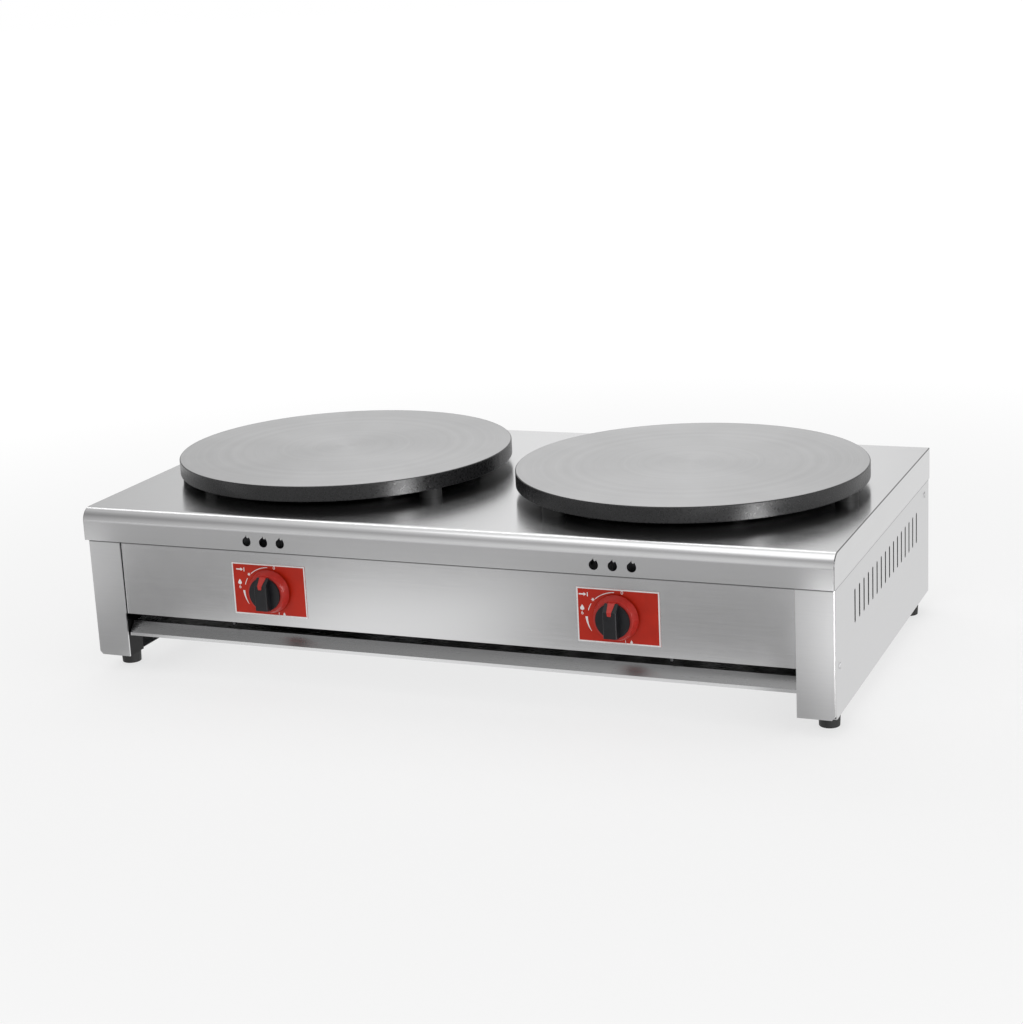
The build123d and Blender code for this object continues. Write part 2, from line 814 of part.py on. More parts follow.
def make_mixer_tube(name, side):
    """The tube that draws air in round the gas jet and turns up into the hub."""
    x = side * plate_x
    cup_rear = mixer_mouth_y + mixer_cup_length
    cone_rear = cup_rear + mixer_cone_length
    with BuildPart() as tube:
        with BuildLine() as path:
            FilletPolyline(
                (x, cone_rear, mixer_z),
                (x, plate_y, mixer_z),
                (x, plate_y, mixer_z + mixer_bend + mixer_spigot),
                radius=mixer_bend,
            )
        with BuildSketch(Plane(origin=path.line @ 0, z_dir=path.line % 0)):
            Circle(mixer_radius)
            Circle(mixer_radius - mixer_wall, mode=Mode.SUBTRACT)
        sweep()
        rod_y(x, mixer_z, (mixer_mouth_y, cup_rear), mixer_cup_radius)
        taper_y(x, mixer_z, (cup_rear, cone_rear), mixer_cup_radius, mixer_radius)
        rod_y(x, mixer_z, (mixer_mouth_y - nose_length, mixer_mouth_y), nose_radius)
        inner_cup = mixer_cup_radius - mixer_wall
        inner_tube = mixer_radius - mixer_wall
        cup_hollow = (mixer_mouth_y + mixer_wall, cup_rear)
        rod_y(x, mixer_z, cup_hollow, inner_cup, Mode.SUBTRACT)
        taper_y(x, mixer_z, (cup_rear, cone_rear), inner_cup, inner_tube, Mode.SUBTRACT)
        nose_bore = (mixer_mouth_y - nose_length - overrun, cup_rear)
        rod_y(x, mixer_z, nose_bore, nose_radius - nose_wall, Mode.SUBTRACT)
        with BuildSketch(front_plane(mixer_mouth_y)):
            with Locations((x, mixer_z)):
                with PolarLocations(window_circle, window_count):
                    Circle(window_radius)
        extrude(amount=-2 * mixer_wall, mode=Mode.SUBTRACT)
    save(tube, name)


def make_air_shutter(name, side):
    """A disc that turns on the nose of the mixer tube and opens or covers its windows."""
    x = side * plate_x
    rear = mixer_mouth_y - shutter_gap
    with BuildPart() as shutter:
        with BuildSketch(front_plane(rear)):
            with Locations((x, mixer_z)):
                Circle(shutter_radius)
                turned = Location((0, 0), 90 - side * (90 - shutter_tab_angle))
                with Locations(turned):
                    Rectangle(
                        shutter_tab_reach, shutter_tab_width, align=(Align.MIN, Align.CENTER)
                    )
                Circle(nose_radius + running_clearance, mode=Mode.SUBTRACT)
                with PolarLocations(window_circle, window_count):
                    Circle(window_radius, mode=Mode.SUBTRACT)
        extrude(amount=shutter_thickness)
    save(shutter, name)


def make_injector(name, side):
    """The brass gas jet between the valve outlet and the mixer tube."""
    x = side * plate_x
    with BuildPart() as jet:
        with BuildSketch(front_plane(outlet_rear)):
            with Locations((x, mixer_z)):
                RegularPolygon(injector_hex / 2, 6, major_radius=False)
        extrude(amount=-injector_hex_length)
        thread = (outlet_rear - outlet_bore_length + overrun, outlet_rear)
        rod_y(x, mixer_z, thread, outlet_bore_radius - screw_clearance)
        rod_y(x, mixer_z, (injector_front, injector_shoulder), injector_body_radius)
        tip = (injector_shoulder, injector_tip)
        taper_y(x, mixer_z, tip, injector_body_radius, injector_tip_radius)
        bore = (thread[0] - overrun, injector_shoulder)
        rod_y(x, mixer_z, bore, injector_bore_radius, Mode.SUBTRACT)
        orifice = (injector_shoulder, injector_tip + overrun)
        rod_y(x, mixer_z, orifice, injector_orifice_radius, Mode.SUBTRACT)
    save(jet, name)


def make_burner_bracket(name, side):
    """A strip hung between the crossbars that carries the burner and its probes."""
    x = side * plate_x
    x_ends = (x - bracket_width / 2, x + bracket_width / 2)
    half = bracket_thickness / 2
    floor = (bracket_bottom, hub_bottom)
    through = (bracket_bottom - overrun, hub_bottom + overrun)
    with BuildPart() as bracket:
        block(x_ends, (front_bar_y - half, rear_bar_y + half), floor)
        for bar_y, outward in ((front_bar_y, -1), (rear_bar_y, 1)):
            block(x_ends, (bar_y - half, bar_y + half), (bracket_bottom, crossbar_bottom))
            tab = (bar_y - outward * half, bar_y + outward * bracket_tab)
            block(x_ends, tab, (crossbar_bottom - bracket_thickness, crossbar_bottom))
            for spread in (-tab_screw_spacing / 2, tab_screw_spacing / 2):
                rod_z(
                    x + spread,
                    bar_y + outward * tab_screw_reach,
                    (crossbar_bottom - bracket_thickness - overrun, crossbar_bottom + overrun),
                    m4_hole,
                    Mode.SUBTRACT,
                )
        rod_z(x, plate_y, through, mixer_radius + 2 * screw_clearance, Mode.SUBTRACT)
        for spread in (-hub_screw_spacing / 2, hub_screw_spacing / 2):
            rod_z(x + spread, plate_y, through, m4_hole, Mode.SUBTRACT)
        for offset, radius in ((-1, electrode_radius), (1, thermocouple_radius)):
            hole = radius + screw_clearance
            place_x = x + offset * side * probe_offset_x
            rod_z(place_x, plate_y - probe_offset_y, through, hole, Mode.SUBTRACT)
    save(bracket, name)


def make_valve_body(name, side):
    """The brass body: barrel, outlet arm, foot on the manifold and a shelf on top."""
    x = side * valve_x
    outlet_x = side * plate_x
    with BuildPart() as body:
        rod_y(x, valve_z, (barrel_front, barrel_rear), barrel_radius)
        arm = (outlet_x - outlet_arm_width / 2, outlet_x + outlet_arm_width / 2)
        arm_top = mixer_z + outlet_radius / 2
        block(arm, (outlet_front, outlet_front + 2 * outlet_radius), (valve_z, arm_top))
        rod_y(outlet_x, mixer_z, (outlet_front, outlet_rear), outlet_radius)
        foot = (manifold_y - valve_foot_depth / 2, manifold_y + valve_foot_depth / 2)
        foot_top = valve_foot_bottom + valve_foot_height
        foot_sides = (x - valve_foot_width / 2, x + valve_foot_width / 2)
        block(foot_sides, foot, (valve_foot_bottom, foot_top))
        shelf_x = x + side * igniter_offset_x
        shelf = (shelf_x - igniter_shelf_width / 2, shelf_x + igniter_shelf_width / 2)
        block(shelf, (barrel_front, barrel_front + igniter_shelf_depth), (valve_z, igniter_bottom))
        inlet = (manifold_z + manifold_radius - manifold_wall, valve_foot_bottom)
        rod_z(x, manifold_y, inlet, inlet_spigot_radius)
        bore = (barrel_front - overrun, plug_rear)
        slope = (plug_front_radius - plug_rear_radius) / plug_length
        mouth_radius = plug_front_radius + slope * (plug_front - bore[0]) + running_clearance
        seat_radius = plug_rear_radius + running_clearance
        taper_y(x, valve_z, bore, mouth_radius, seat_radius, Mode.SUBTRACT)
        rod_y(x, valve_z, (plug_rear, magnet_face), chamber_radius, Mode.SUBTRACT)
        rod_y(x, valve_z, (magnet_face, barrel_rear), magnet_bore_radius, Mode.SUBTRACT)
        gas_way = (inlet[0], valve_z)
        rod_z(x, manifold_y, gas_way, inlet_spigot_radius / 2, Mode.SUBTRACT)
        jet_seat = (outlet_rear - outlet_bore_length, outlet_rear)
        rod_y(outlet_x, mixer_z, jet_seat, outlet_bore_radius, Mode.SUBTRACT)
        jet_way = (outlet_front + outlet_radius, outlet_rear)
        rod_y(outlet_x, mixer_z, jet_way, injector_bore_radius, Mode.SUBTRACT)
        for spread in (-bonnet_screw_spacing / 2, bonnet_screw_spacing / 2):
            hole = (barrel_front, barrel_front + m4_length)
            rod_y(x + spread, valve_z, hole, m4_hole, Mode.SUBTRACT)
        for reach in (-strap_screw_y, strap_screw_y):
            hole = (valve_foot_bottom, valve_foot_bottom + m4_length - strap_sheet / 2)
            rod_z(x, manifold_y + reach, hole, m4_hole, Mode.SUBTRACT)
    save(body, name)


def make_valve_bonnet(name, side):
    """The plate that keeps the plug in the valve."""
    x = side * valve_x
    with BuildPart() as bonnet:
        with BuildSketch(front_plane(barrel_front)):
            with Locations((x, valve_z)):
                RectangleRounded(bonnet_width, bonnet_height, bonnet_thickness)
                Circle(stem_radius + 2 * screw_clearance, mode=Mode.SUBTRACT)
                with GridLocations(bonnet_screw_spacing, 0, 2, 1):
                    Circle(m4_hole, mode=Mode.SUBTRACT)
        extrude(amount=bonnet_thickness)
    save(bonnet, name)


def stem_section(gap):
    """The round section with one flat by which the stem turns the plug."""
    radius = stem_radius + gap
    with BuildSketch() as section:
        Circle(radius)
        with Locations((0, stem_flat + gap)):
            Rectangle(
                2 * radius, 2 * radius, align=(Align.CENTER, Align.MIN), mode=Mode.SUBTRACT
            )
    return section.sketch


def make_valve_plug(name, side):
    """The taper plug that turns in the body and meters the gas."""
    x = side * valve_x
    with BuildPart() as plug:
        taper_y(x, valve_z, (plug_front, plug_rear), plug_front_radius, plug_rear_radius)
        with BuildSketch(front_plane(plug_rear - plug_floor)):
            with Locations((x, valve_z)):
                add(stem_section(running_clearance))
        extrude(amount=plug_length, mode=Mode.SUBTRACT)
        pin_way = (plug_rear - plug_floor - overrun, plug_rear + overrun)
        rod_y(x, valve_z, pin_way, pin_radius + 2 * screw_clearance, Mode.SUBTRACT)
        port_y = plug_rear - plug_length / 3
        rod_x(port_y, valve_z, (x, x + side * 2 * plug_front_radius), plug_port_radius, Mode.SUBTRACT)
    save(plug, name)


def make_valve_stem(name, side):
    """The rod from the knob into the plug, with a pin that opens the flame-failure valve."""
    x = side * valve_x
    with BuildPart() as stem:
        with BuildSketch(front_plane(stem_rear)):
            with Locations((x, valve_z)):
                add(stem_section(0))
        extrude(amount=stem_rear - stem_front)
        rod_y(x, valve_z, (stem_rear, stem_rear + pin_reach), pin_radius)
    save(stem, name)


def make_stem_spring(name, side):
    """The coil spring that pushes the stem and knob back out."""
    x = side * valve_x
    start = stem_rear + spring_wire / 2
    length = plug_rear - plug_floor - spring_wire / 2 - start
    with BuildPart() as spring:
        with BuildLine() as path:
            Helix(
                length / spring_turns,
                length,
                spring_radius,
                center=(x, start, valve_z),
                direction=(0, 1, 0),
            )
        with BuildSketch(Plane(origin=path.line @ 0, z_dir=path.line % 0)):
            Circle(spring_wire / 2)
        sweep()
    save(spring, name)


def make_magnet_unit(name, side):
    """The electromagnet that holds the gas open while the flame burns."""
    x = side * valve_x
    with BuildPart() as magnet:
        rod_y(x, valve_z, (magnet_face, barrel_rear), magnet_bore_radius - screw_clearance)
        with BuildSketch(front_plane(barrel_rear)):
            with Locations((x, valve_z)):
                RegularPolygon(magnet_hex / 2, 6, major_radius=False)
        extrude(amount=-magnet_hex_length)
        rod_y(x, valve_z, (magnet_hex_rear, magnet_rear), magnet_can_radius)
    save(magnet, name)


def make_igniter(name, side):
    """The piezo block on top of the valve, which sparks as the knob turns."""
    x = side * (valve_x + igniter_offset_x)
    rear = barrel_front + igniter_depth
    with BuildPart() as igniter:
        block(
            (x - igniter_width / 2, x + igniter_width / 2),
            (barrel_front, rear),
            (igniter_bottom, igniter_bottom + igniter_height),
        )
        fillet(edges().filter_by(Axis.Z), radius=terminal_radius / 2)
        rod_y(x, lead_z, (rear, rear + terminal_length), terminal_radius)
    save(igniter, name)


def make_ignition_lead(name, side):
    """The insulated wire from the igniter to the electrode."""
    terminal_end = barrel_front + igniter_depth + terminal_length
    start = (side * (valve_x + igniter_offset_x), terminal_end + lead_end_gap)
    end = (
        side * (plate_x - probe_offset_x),
        plate_y - probe_offset_y - electrode_radius - lead_end_gap,
    )
    middle = (start[0] - side * lead_bow, (start[1] + end[1]) / 2)
    with BuildPart() as lead:
        with BuildLine() as path:
            FilletPolyline(
                (*start, lead_z), (*middle, lead_z), (*end, lead_z), radius=lead_bow_radius
            )
        with BuildSketch(Plane(origin=path.line @ 0, z_dir=path.line % 0)):
            Circle(lead_radius)
        sweep()
    save(lead, name)


def make_electrode(name, side):
    """The ceramic spark plug beside the front arm of the burner."""
    x = side * (plate_x - probe_offset_x)
    y = plate_y - probe_offset_y
    with BuildPart() as electrode:
        rod_z(x, y, (electrode_bottom, electrode_top), electrode_radius)
        rod_z(x, y, (hub_bottom, hub_bottom + probe_collar_height), probe_collar_radius)
        rod_z(x, y, (electrode_top, electrode_tip_top), electrode_tip_radius)
    save(electrode, name)


def make_thermocouple(name, side):
    """The flame probe, its bent capillary and the nut that joins it to the magnet unit."""
    x = side * (plate_x + probe_offset_x)
    y = plate_y - probe_offset_y
    nut_x = side * valve_x
    with BuildPart() as probe:
        rod_z(x, y, (thermocouple_bottom, thermocouple_top), thermocouple_radius)
        rod_z(x, y, (hub_bottom, hub_bottom + probe_collar_height), probe_collar_radius)
        with BuildLine() as path:
            FilletPolyline(
                (x, y, thermocouple_bottom),
                (x, y, valve_z),
                (nut_x, capillary_nut_rear + capillary_run_back, valve_z),
                (nut_x, capillary_nut_rear, valve_z),
                radius=(capillary_bend, capillary_sweep),
            )
        with BuildSketch(Plane(origin=path.line @ 0, z_dir=path.line % 0)):
            Circle(capillary_radius)
        sweep()
        rod_y(nut_x, valve_z, (magnet_rear, capillary_nut_rear), capillary_nut_radius)
    save(probe, name)


def make_dial_plate(name, side):
    """The printed plate behind the knob."""
    with BuildPart() as dial:
        with BuildSketch(front_plane(panel_front)):
            with Locations((side * (valve_x + dial_offset_x), valve_z + dial_offset_z)):
                Rectangle(dial_width, dial_height)
            with Locations((side * valve_x, valve_z)):
                Circle(stem_hole_radius, mode=Mode.SUBTRACT)
        extrude(amount=dial_thickness)
    save(dial, name)


def pointer_tongue(x):
    """The wedge of the skirt that lies in a groove of the grip and marks the setting."""
    ramp_foot_z = valve_z + grip_reach_up
    ramp_top_z = ramp_foot_z - grip_ramp
    with BuildPart() as tongue:
        with BuildSketch(Plane.YZ.offset(x)):
            with BuildLine():
                Polyline(
                    (skirt_front, ramp_foot_z + pointer_depth / 2),
                    (disc_front - pointer_proud, ramp_foot_z + pointer_proud),
                    (grip_front - pointer_proud, ramp_top_z + pointer_proud),
                    (grip_front - pointer_proud, valve_z + pointer_tip_z),
                    (grip_front + pointer_depth, valve_z + pointer_tip_z),
                    (grip_front + pointer_depth, ramp_top_z - pointer_depth / 2),
                    (disc_front, ramp_foot_z - pointer_depth),
                    (skirt_front, ramp_foot_z - pointer_depth),
                    close=True,
                )
            make_face()
        extrude(amount=pointer_root_width, both=True)
        with BuildSketch(front_plane(skirt_back)):
            with BuildLine():
                low = valve_z + pointer_tip_z - pointer_proud
                high = ramp_foot_z + pointer_depth
                Polyline(
                    (x - pointer_tip_width / 2, low),
                    (x + pointer_tip_width / 2, low),
                    (x + pointer_root_width / 2, high),
                    (x - pointer_root_width / 2, high),
                    close=True,
                )
            make_face()
        extrude(amount=2 * (skirt_back - grip_front), mode=Mode.INTERSECT)
    return tongue.part


def make_knob_skirt(name, side):
    """The conical skirt round the grip, with the pointer that runs onto the grip."""
    x = side * valve_x
    with BuildPart() as skirt:
        taper_y(x, valve_z, (skirt_front, skirt_back), skirt_front_radius, skirt_radius)
        taper_y(
            x,
            valve_z,
            (skirt_front + skirt_wall, skirt_back),
            skirt_front_radius - skirt_wall,
            skirt_radius - skirt_wall,
            Mode.SUBTRACT,
        )
        hub_hole = (skirt_front - overrun, skirt_back)
        rod_y(x, valve_z, hub_hole, boss_radius, Mode.SUBTRACT)
        add(pointer_tongue(x))
    save(skirt, name)


def make_knob_grip(name, side):
    """The grip: a disc with a bar across it and a boss that fits on the stem."""
    x = side * valve_x
    bottom_z = valve_z - grip_reach_down
    top_z = valve_z + grip_reach_up
    with BuildPart() as grip:
        with BuildSketch(Plane.YZ.offset(x)):
            with BuildLine():
                Polyline(
                    (disc_front, bottom_z),
                    (grip_front, bottom_z + grip_heel),
                    (grip_front, top_z - grip_ramp),
                    (disc_front, top_z),
                    close=True,
                )
            make_face()
        extrude(amount=grip_width / 2, both=True)
        long_edges = edges().filter_by(lambda edge: abs(edge.center().X - x) > grip_width / 4)
        fillet(long_edges.group_by(Axis.Y)[0], radius=grip_edge_radius)
        rod_y(x, valve_z, (disc_front, skirt_front), grip_disc_radius)
        rod_y(x, valve_z, (skirt_front, skirt_back), boss_radius)
        with BuildSketch(front_plane(skirt_back)):
            with Locations((x, valve_z)):
                add(stem_section(knob_fit))
        extrude(amount=skirt_back - stem_front, mode=Mode.SUBTRACT)
        add(pointer_tongue(x), mode=Mode.SUBTRACT)
    save(grip, name)


for word, side in sides.items():
    make_tray_runner(f"{word}_tray_runner", side)
    make_crepe_plate(f"{word}_crepe_plate", side)
    make_burner_head(f"{word}_burner_head", side)
    make_mixer_tube(f"{word}_mixer_tube", side)
    make_air_shutter(f"{word}_air_shutter", side)
    make_injector(f"{word}_injector", side)
    make_burner_bracket(f"{word}_burner_bracket", side)
    make_valve_body(f"{word}_valve_body", side)
    make_valve_bonnet(f"{word}_valve_bonnet", side)
    make_valve_plug(f"{word}_valve_plug", side)
    make_valve_stem(f"{word}_valve_stem", side)
    make_stem_spring(f"{word}_stem_spring", side)
    make_magnet_unit(f"{word}_magnet_unit", side)
    make_igniter(f"{word}_igniter", side)
    make_ignition_lead(f"{word}_ignition_lead", side)
    make_electrode(f"{word}_electrode", side)
    make_thermocouple(f"{word}_thermocouple", side)
    make_dial_plate(f"{word}_dial_plate", side)
    make_knob_skirt(f"{word}_knob_skirt", side)
    make_knob_grip(f"{word}_knob_grip", side)

# Gas manifold: a closed tube behind the control panel that feeds both valves
with BuildPart() as gas_manifold:
    manifold_ends = (-valve_x - manifold_overhang, manifold_end_x)
    rod_x(manifold_y, manifold_z, manifold_ends, manifold_radius)
    hollow = (manifold_ends[0] + supply_insert, manifold_ends[1] - supply_insert)
    rod_x(manifold_y, manifold_z, hollow, manifold_radius - manifold_wall, Mode.SUBTRACT)
    mouth = (hollow[1] - overrun, manifold_end_x + overrun)
    rod_x(manifold_y, manifold_z, mouth, supply_radius, Mode.SUBTRACT)
    for x in (-valve_x, valve_x):
        top = (manifold_z, valve_foot_bottom + overrun)
        rod_z(x, manifold_y, top, inlet_spigot_radius + screw_clearance, Mode.SUBTRACT)
save(gas_manifold, "gas_manifold")

# Pipe straps: two hold the valves on the manifold, two hold the manifold on the shelf
with BuildPart() as strap:
    with BuildSketch(Plane.YZ):
        outer_radius = strap_rise + strap_sheet
        Circle(outer_radius)
        with Locations((0, strap_rise / 2)):
            Rectangle(2 * outer_radius, strap_rise)
        with Locations((0, strap_rise - strap_sheet / 2)):
            Rectangle(2 * (outer_radius + strap_ear), strap_sheet)
        Circle(strap_rise, mode=Mode.SUBTRACT)
        with Locations((0, strap_rise)):
            Rectangle(2 * strap_rise, 2 * strap_rise, mode=Mode.SUBTRACT)
        with Locations((0, strap_rise)):
            Rectangle(
                3 * (outer_radius + strap_ear),
                2 * outer_radius,
                align=(Align.CENTER, Align.MIN),
                mode=Mode.SUBTRACT,
            )
    extrude(amount=strap_width / 2, both=True)
    for reach in (-strap_screw_y, strap_screw_y):
        rod_z(0, reach, (0, 2 * strap_rise), m4_hole, Mode.SUBTRACT)

with BuildPart() as pipe_straps:
    with Locations(
        (-valve_x, manifold_y, manifold_z),
        (valve_x, manifold_y, manifold_z),
        Location((-shelf_strap_x, manifold_y, manifold_z), (180, 0, 0)),
        Location((shelf_strap_x, manifold_y, manifold_z), (180, 0, 0)),
    ):
        add(strap.part)
save(pipe_straps, "pipe_straps")

# Supply pipe from the manifold to the inlet at the rear
with BuildPart() as supply_pipe:
    pipe_end_y = back_inner - inlet_body_length + inlet_socket
    with BuildLine() as path:
        FilletPolyline(
            (manifold_end_x - supply_insert, manifold_y, manifold_z),
            (supply_x, manifold_y, manifold_z),
            (supply_x, pipe_end_y, manifold_z),
            radius=supply_bend,
        )
    with BuildSketch(Plane(origin=path.line @ 0, z_dir=path.line % 0)):
        Circle(supply_radius - screw_clearance)
        Circle(supply_radius - supply_wall, mode=Mode.SUBTRACT)
    sweep()
save(supply_pipe, "supply_pipe")

# Inlet connector, clamped to the rear panel by its locknut
with BuildPart() as inlet_connector:
    with BuildSketch(front_plane(back_inner)):
        with Locations((supply_x, manifold_z)):
            RegularPolygon(inlet_hex / 2, 6, major_radius=False)
    extrude(amount=inlet_body_length)
    relief = (locknut_rear - relief_width / 2, locknut_rear + relief_width / 2)
    rod_y(supply_x, manifold_z, (back_inner, relief[0]), inlet_thread_radius)
    rod_y(supply_x, manifold_z, relief, inlet_thread_radius - relief_depth)
    rod_y(supply_x, manifold_z, (relief[1], inlet_end), inlet_thread_radius)
    socket_front = back_inner - inlet_body_length
    bore = (socket_front - overrun, inlet_end + overrun)
    rod_y(supply_x, manifold_z, bore, inlet_bore_radius, Mode.SUBTRACT)
    socket = (socket_front - overrun, socket_front + inlet_socket)
    rod_y(supply_x, manifold_z, socket, supply_radius, Mode.SUBTRACT)
save(inlet_connector, "inlet_connector")

with BuildPart() as inlet_locknut:
    with BuildSketch(front_plane(back_outer)):
        with Locations((supply_x, manifold_z)):
            RegularPolygon(inlet_hex / 2, 6, major_radius=False)
            Circle(inlet_thread_radius + screw_clearance, mode=Mode.SUBTRACT)
    extrude(amount=-locknut_thickness)
save(inlet_locknut, "inlet_locknut")

# Rubber feet, each with a bolt up through the flange of its side panel
feet = {
    "front_left_foot": (-foot_x, front_foot_y),
    "front_right_foot": (foot_x, front_foot_y),
    "rear_left_foot": (-foot_x, rear_foot_y),
    "rear_right_foot": (foot_x, rear_foot_y),
}
for name, (x, y) in feet.items():
    with BuildPart() as foot:
        with Locations((x, y, foot_height / 2)):
            Cone(foot_bottom_radius, foot_top_radius, foot_height)
        fillet(edges().group_by(Axis.Z)[0], radius=foot_edge)
        rod_z(x, y, (-overrun, foot_recess_depth), foot_recess_radius, Mode.SUBTRACT)
        shank_hole = (0, foot_height + overrun)
        rod_z(x, y, shank_hole, foot_bolt_radius + screw_clearance, Mode.SUBTRACT)
    save(foot, name)

with BuildPart() as foot_bolts:
    nut_bottom = foot_height + panel_sheet
    for x, y in feet.values():
        head = (foot_recess_depth - foot_bolt_head_height, foot_recess_depth)
        rod_z(x, y, head, foot_bolt_head_radius)
        shank = (foot_recess_depth, nut_bottom + foot_nut_height + foot_bolt_end)
        rod_z(x, y, shank, foot_bolt_radius)
save(foot_bolts, "foot_bolts")

# Blind rivets through the side panels
with BuildPart() as side_rivets:
    for side in sides.values():
        for y, z in ((front_rivet_y, front_rivet_z), (rear_rivet_y, rear_rivet_z)):
            head = (side * side_outer, side * (side_outer + rivet_head_height))
            rod_x(y, z, head, rivet_head_radius)
            shank = (side * side_outer, side * (side_inner - 2 * panel_sheet - rivet_tail))
            rod_x(y, z, shank, rivet_radius)
save(side_rivets, "side_rivets")

# Pan-head screws, all alike: each seat is where the head bears, facing along the shank
screw_seats = []
for side in sides.values():
    for z in (panel_screw_low_z, panel_screw_high_z):
        seat = (side * (panel_half - panel_sheet), panel_front + panel_screw_inset, z)
        screw_seats.append(Plane(origin=seat, z_dir=(side, 0, 0)))
    for reach in (-strap_screw_y, strap_screw_y):
        under = (side * valve_x, manifold_y + reach, valve_foot_bottom - strap_sheet)
        screw_seats.append(Plane(origin=under, z_dir=(0, 0, 1)))
        above = (side * shelf_strap_x, manifold_y + reach, shelf_top + strap_sheet)
        screw_seats.append(Plane(origin=above, z_dir=(0, 0, -1)))
    for spread in (-hub_screw_spacing / 2, hub_screw_spacing / 2):
        seat = (side * plate_x + spread, plate_y, bracket_bottom)
        screw_seats.append(Plane(origin=seat, z_dir=(0, 0, 1)))
    for spread in (-bonnet_screw_spacing / 2, bonnet_screw_spacing / 2):
        seat = (side * valve_x + spread, bonnet_front, valve_z)
        screw_seats.append(Plane(origin=seat, z_dir=(0, 1, 0)))
    for bar_y, outward in ((front_bar_y, -1), (rear_bar_y, 1)):
        for spread in (-tab_screw_spacing / 2, tab_screw_spacing / 2):
            y = bar_y + outward * tab_screw_reach
            seat = (side * plate_x + spread, y, crossbar_bottom - bracket_thickness)
            screw_seats.append(Plane(origin=seat, z_dir=(0, 0, 1)))

with BuildPart() as m4_screws:
    with Locations(*screw_seats):
        Cylinder(m4_radius, m4_length, align=(Align.CENTER, Align.CENTER, Align.MIN))
        Cylinder(m4_head_radius, m4_head_height, align=(Align.CENTER, Align.CENTER, Align.MAX))
    with Locations(*[seat.offset(-m4_head_height) for seat in screw_seats]):
        Cylinder(
            m4_socket / 2,
            m4_socket_depth,
            align=(Align.CENTER, Align.CENTER, Align.MIN),
            mode=Mode.SUBTRACT,
        )
save(m4_screws, "m4_screws")
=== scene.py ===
import json
import math

import bmesh
import bpy
from bpy.props import FloatProperty, FloatVectorProperty, PointerProperty
from mathutils import Matrix, Vector


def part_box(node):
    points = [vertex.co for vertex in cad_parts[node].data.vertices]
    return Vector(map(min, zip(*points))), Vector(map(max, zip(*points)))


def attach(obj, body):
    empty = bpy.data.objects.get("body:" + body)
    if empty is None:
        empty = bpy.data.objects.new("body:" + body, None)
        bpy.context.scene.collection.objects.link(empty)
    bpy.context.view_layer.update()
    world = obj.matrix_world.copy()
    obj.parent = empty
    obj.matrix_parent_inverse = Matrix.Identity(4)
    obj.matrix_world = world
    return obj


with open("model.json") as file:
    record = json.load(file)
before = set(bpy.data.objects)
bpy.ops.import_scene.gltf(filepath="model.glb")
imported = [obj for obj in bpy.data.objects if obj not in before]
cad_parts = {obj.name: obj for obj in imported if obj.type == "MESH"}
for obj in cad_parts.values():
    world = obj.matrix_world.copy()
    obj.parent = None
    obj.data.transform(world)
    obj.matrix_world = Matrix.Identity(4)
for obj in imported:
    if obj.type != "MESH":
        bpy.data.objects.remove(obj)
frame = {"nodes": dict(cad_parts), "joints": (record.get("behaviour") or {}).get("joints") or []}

bl_info = {
    "name": "Double gas crepe maker",
    "version": (1, 0, 0),
    "blender": (4, 5, 0),
    "location": "View3D > Sidebar > Crepe maker",
    "description": "Finishes, dial prints and studio for the crepe maker's frame",
    "category": "Object",
}

SIDES = ("left", "right")
MM = 0.001
WHITE = (1.0, 1.0, 1.0)
BLACK = (0.0, 0.0, 0.0)


def colour(name, description, value):
    """A colour property with linear values."""
    return FloatVectorProperty(
        name=name, description=description, subtype="COLOR", size=3, min=0.0, max=1.0, default=value
    )


def length(name, description, value):
    """A distance property in metres."""
    return FloatProperty(
        name=name, description=description, subtype="DISTANCE", unit="LENGTH", default=value
    )


def share(name, description, value):
    """A plain number from 0 to 1."""
    return FloatProperty(
        name=name, description=description, subtype="FACTOR", min=0.0, max=1.0, default=value
    )


def strength(name, description, value):
    """A brightness that may be above 1."""
    return FloatProperty(name=name, description=description, min=0.0, default=value)


def power(name, description, value):
    """A lamp's power in watts."""
    return FloatProperty(name=name, description=description, unit="POWER", min=0.0, default=value)


def angle(name, description, degrees):
    """An angle property, its default given in degrees."""
    return FloatProperty(
        name=name, description=description, subtype="ANGLE", default=math.radians(degrees)
    )


class CrepeMakerColours(bpy.types.PropertyGroup):
    steel: colour("Steel", "Stainless sheet of the case", (0.66, 0.66, 0.665))
    galvanised: colour("Galvanised", "Zinc coat of the brackets and bars", (0.46, 0.47, 0.49))
    plate_face: colour("Plate face", "Machined top of the crepe plates", (0.47, 0.47, 0.473))
    plate_rim: colour("Plate rim", "Seasoned rim and underside", (0.016, 0.016, 0.017))
    burner: colour("Burner", "Raw casting of the burners", (0.060, 0.058, 0.056))
    brass: colour("Brass", "Valves, jets and gas inlet", (0.63, 0.44, 0.18))
    # Darker than plain zinc: partly the screws' own black zinc, partly painted shade for the screw heads
    # under the control panel.
    zinc: colour("Dark zinc", "Screws, bolts and springs", (0.093, 0.0945, 0.0975))
    copper: colour("Copper", "Thermocouple and its tube", (0.72, 0.38, 0.24))
    grip: colour("Grip", "Black heat-proof plastic", (0.006, 0.006, 0.008))
    skirt: colour("Skirt", "Red plastic of the knob skirts", (0.52, 0.030, 0.022))
    dial: colour("Dial", "Red ground of the dial plates", (0.54, 0.018, 0.003))
    marks: colour("Marks", "White ink of the dial prints", (0.95, 0.95, 0.94))
    rubber: colour("Rubber", "Feet", (0.011, 0.011, 0.011))
    ceramic: colour("Ceramic", "Glazed body of the electrodes", (0.80, 0.78, 0.73))
    lead: colour("Lead", "Silicone of the ignition leads", (0.42, 0.03, 0.02))
    floor: colour("Floor", "Plain floor under the appliance", (0.88, 0.88, 0.88))


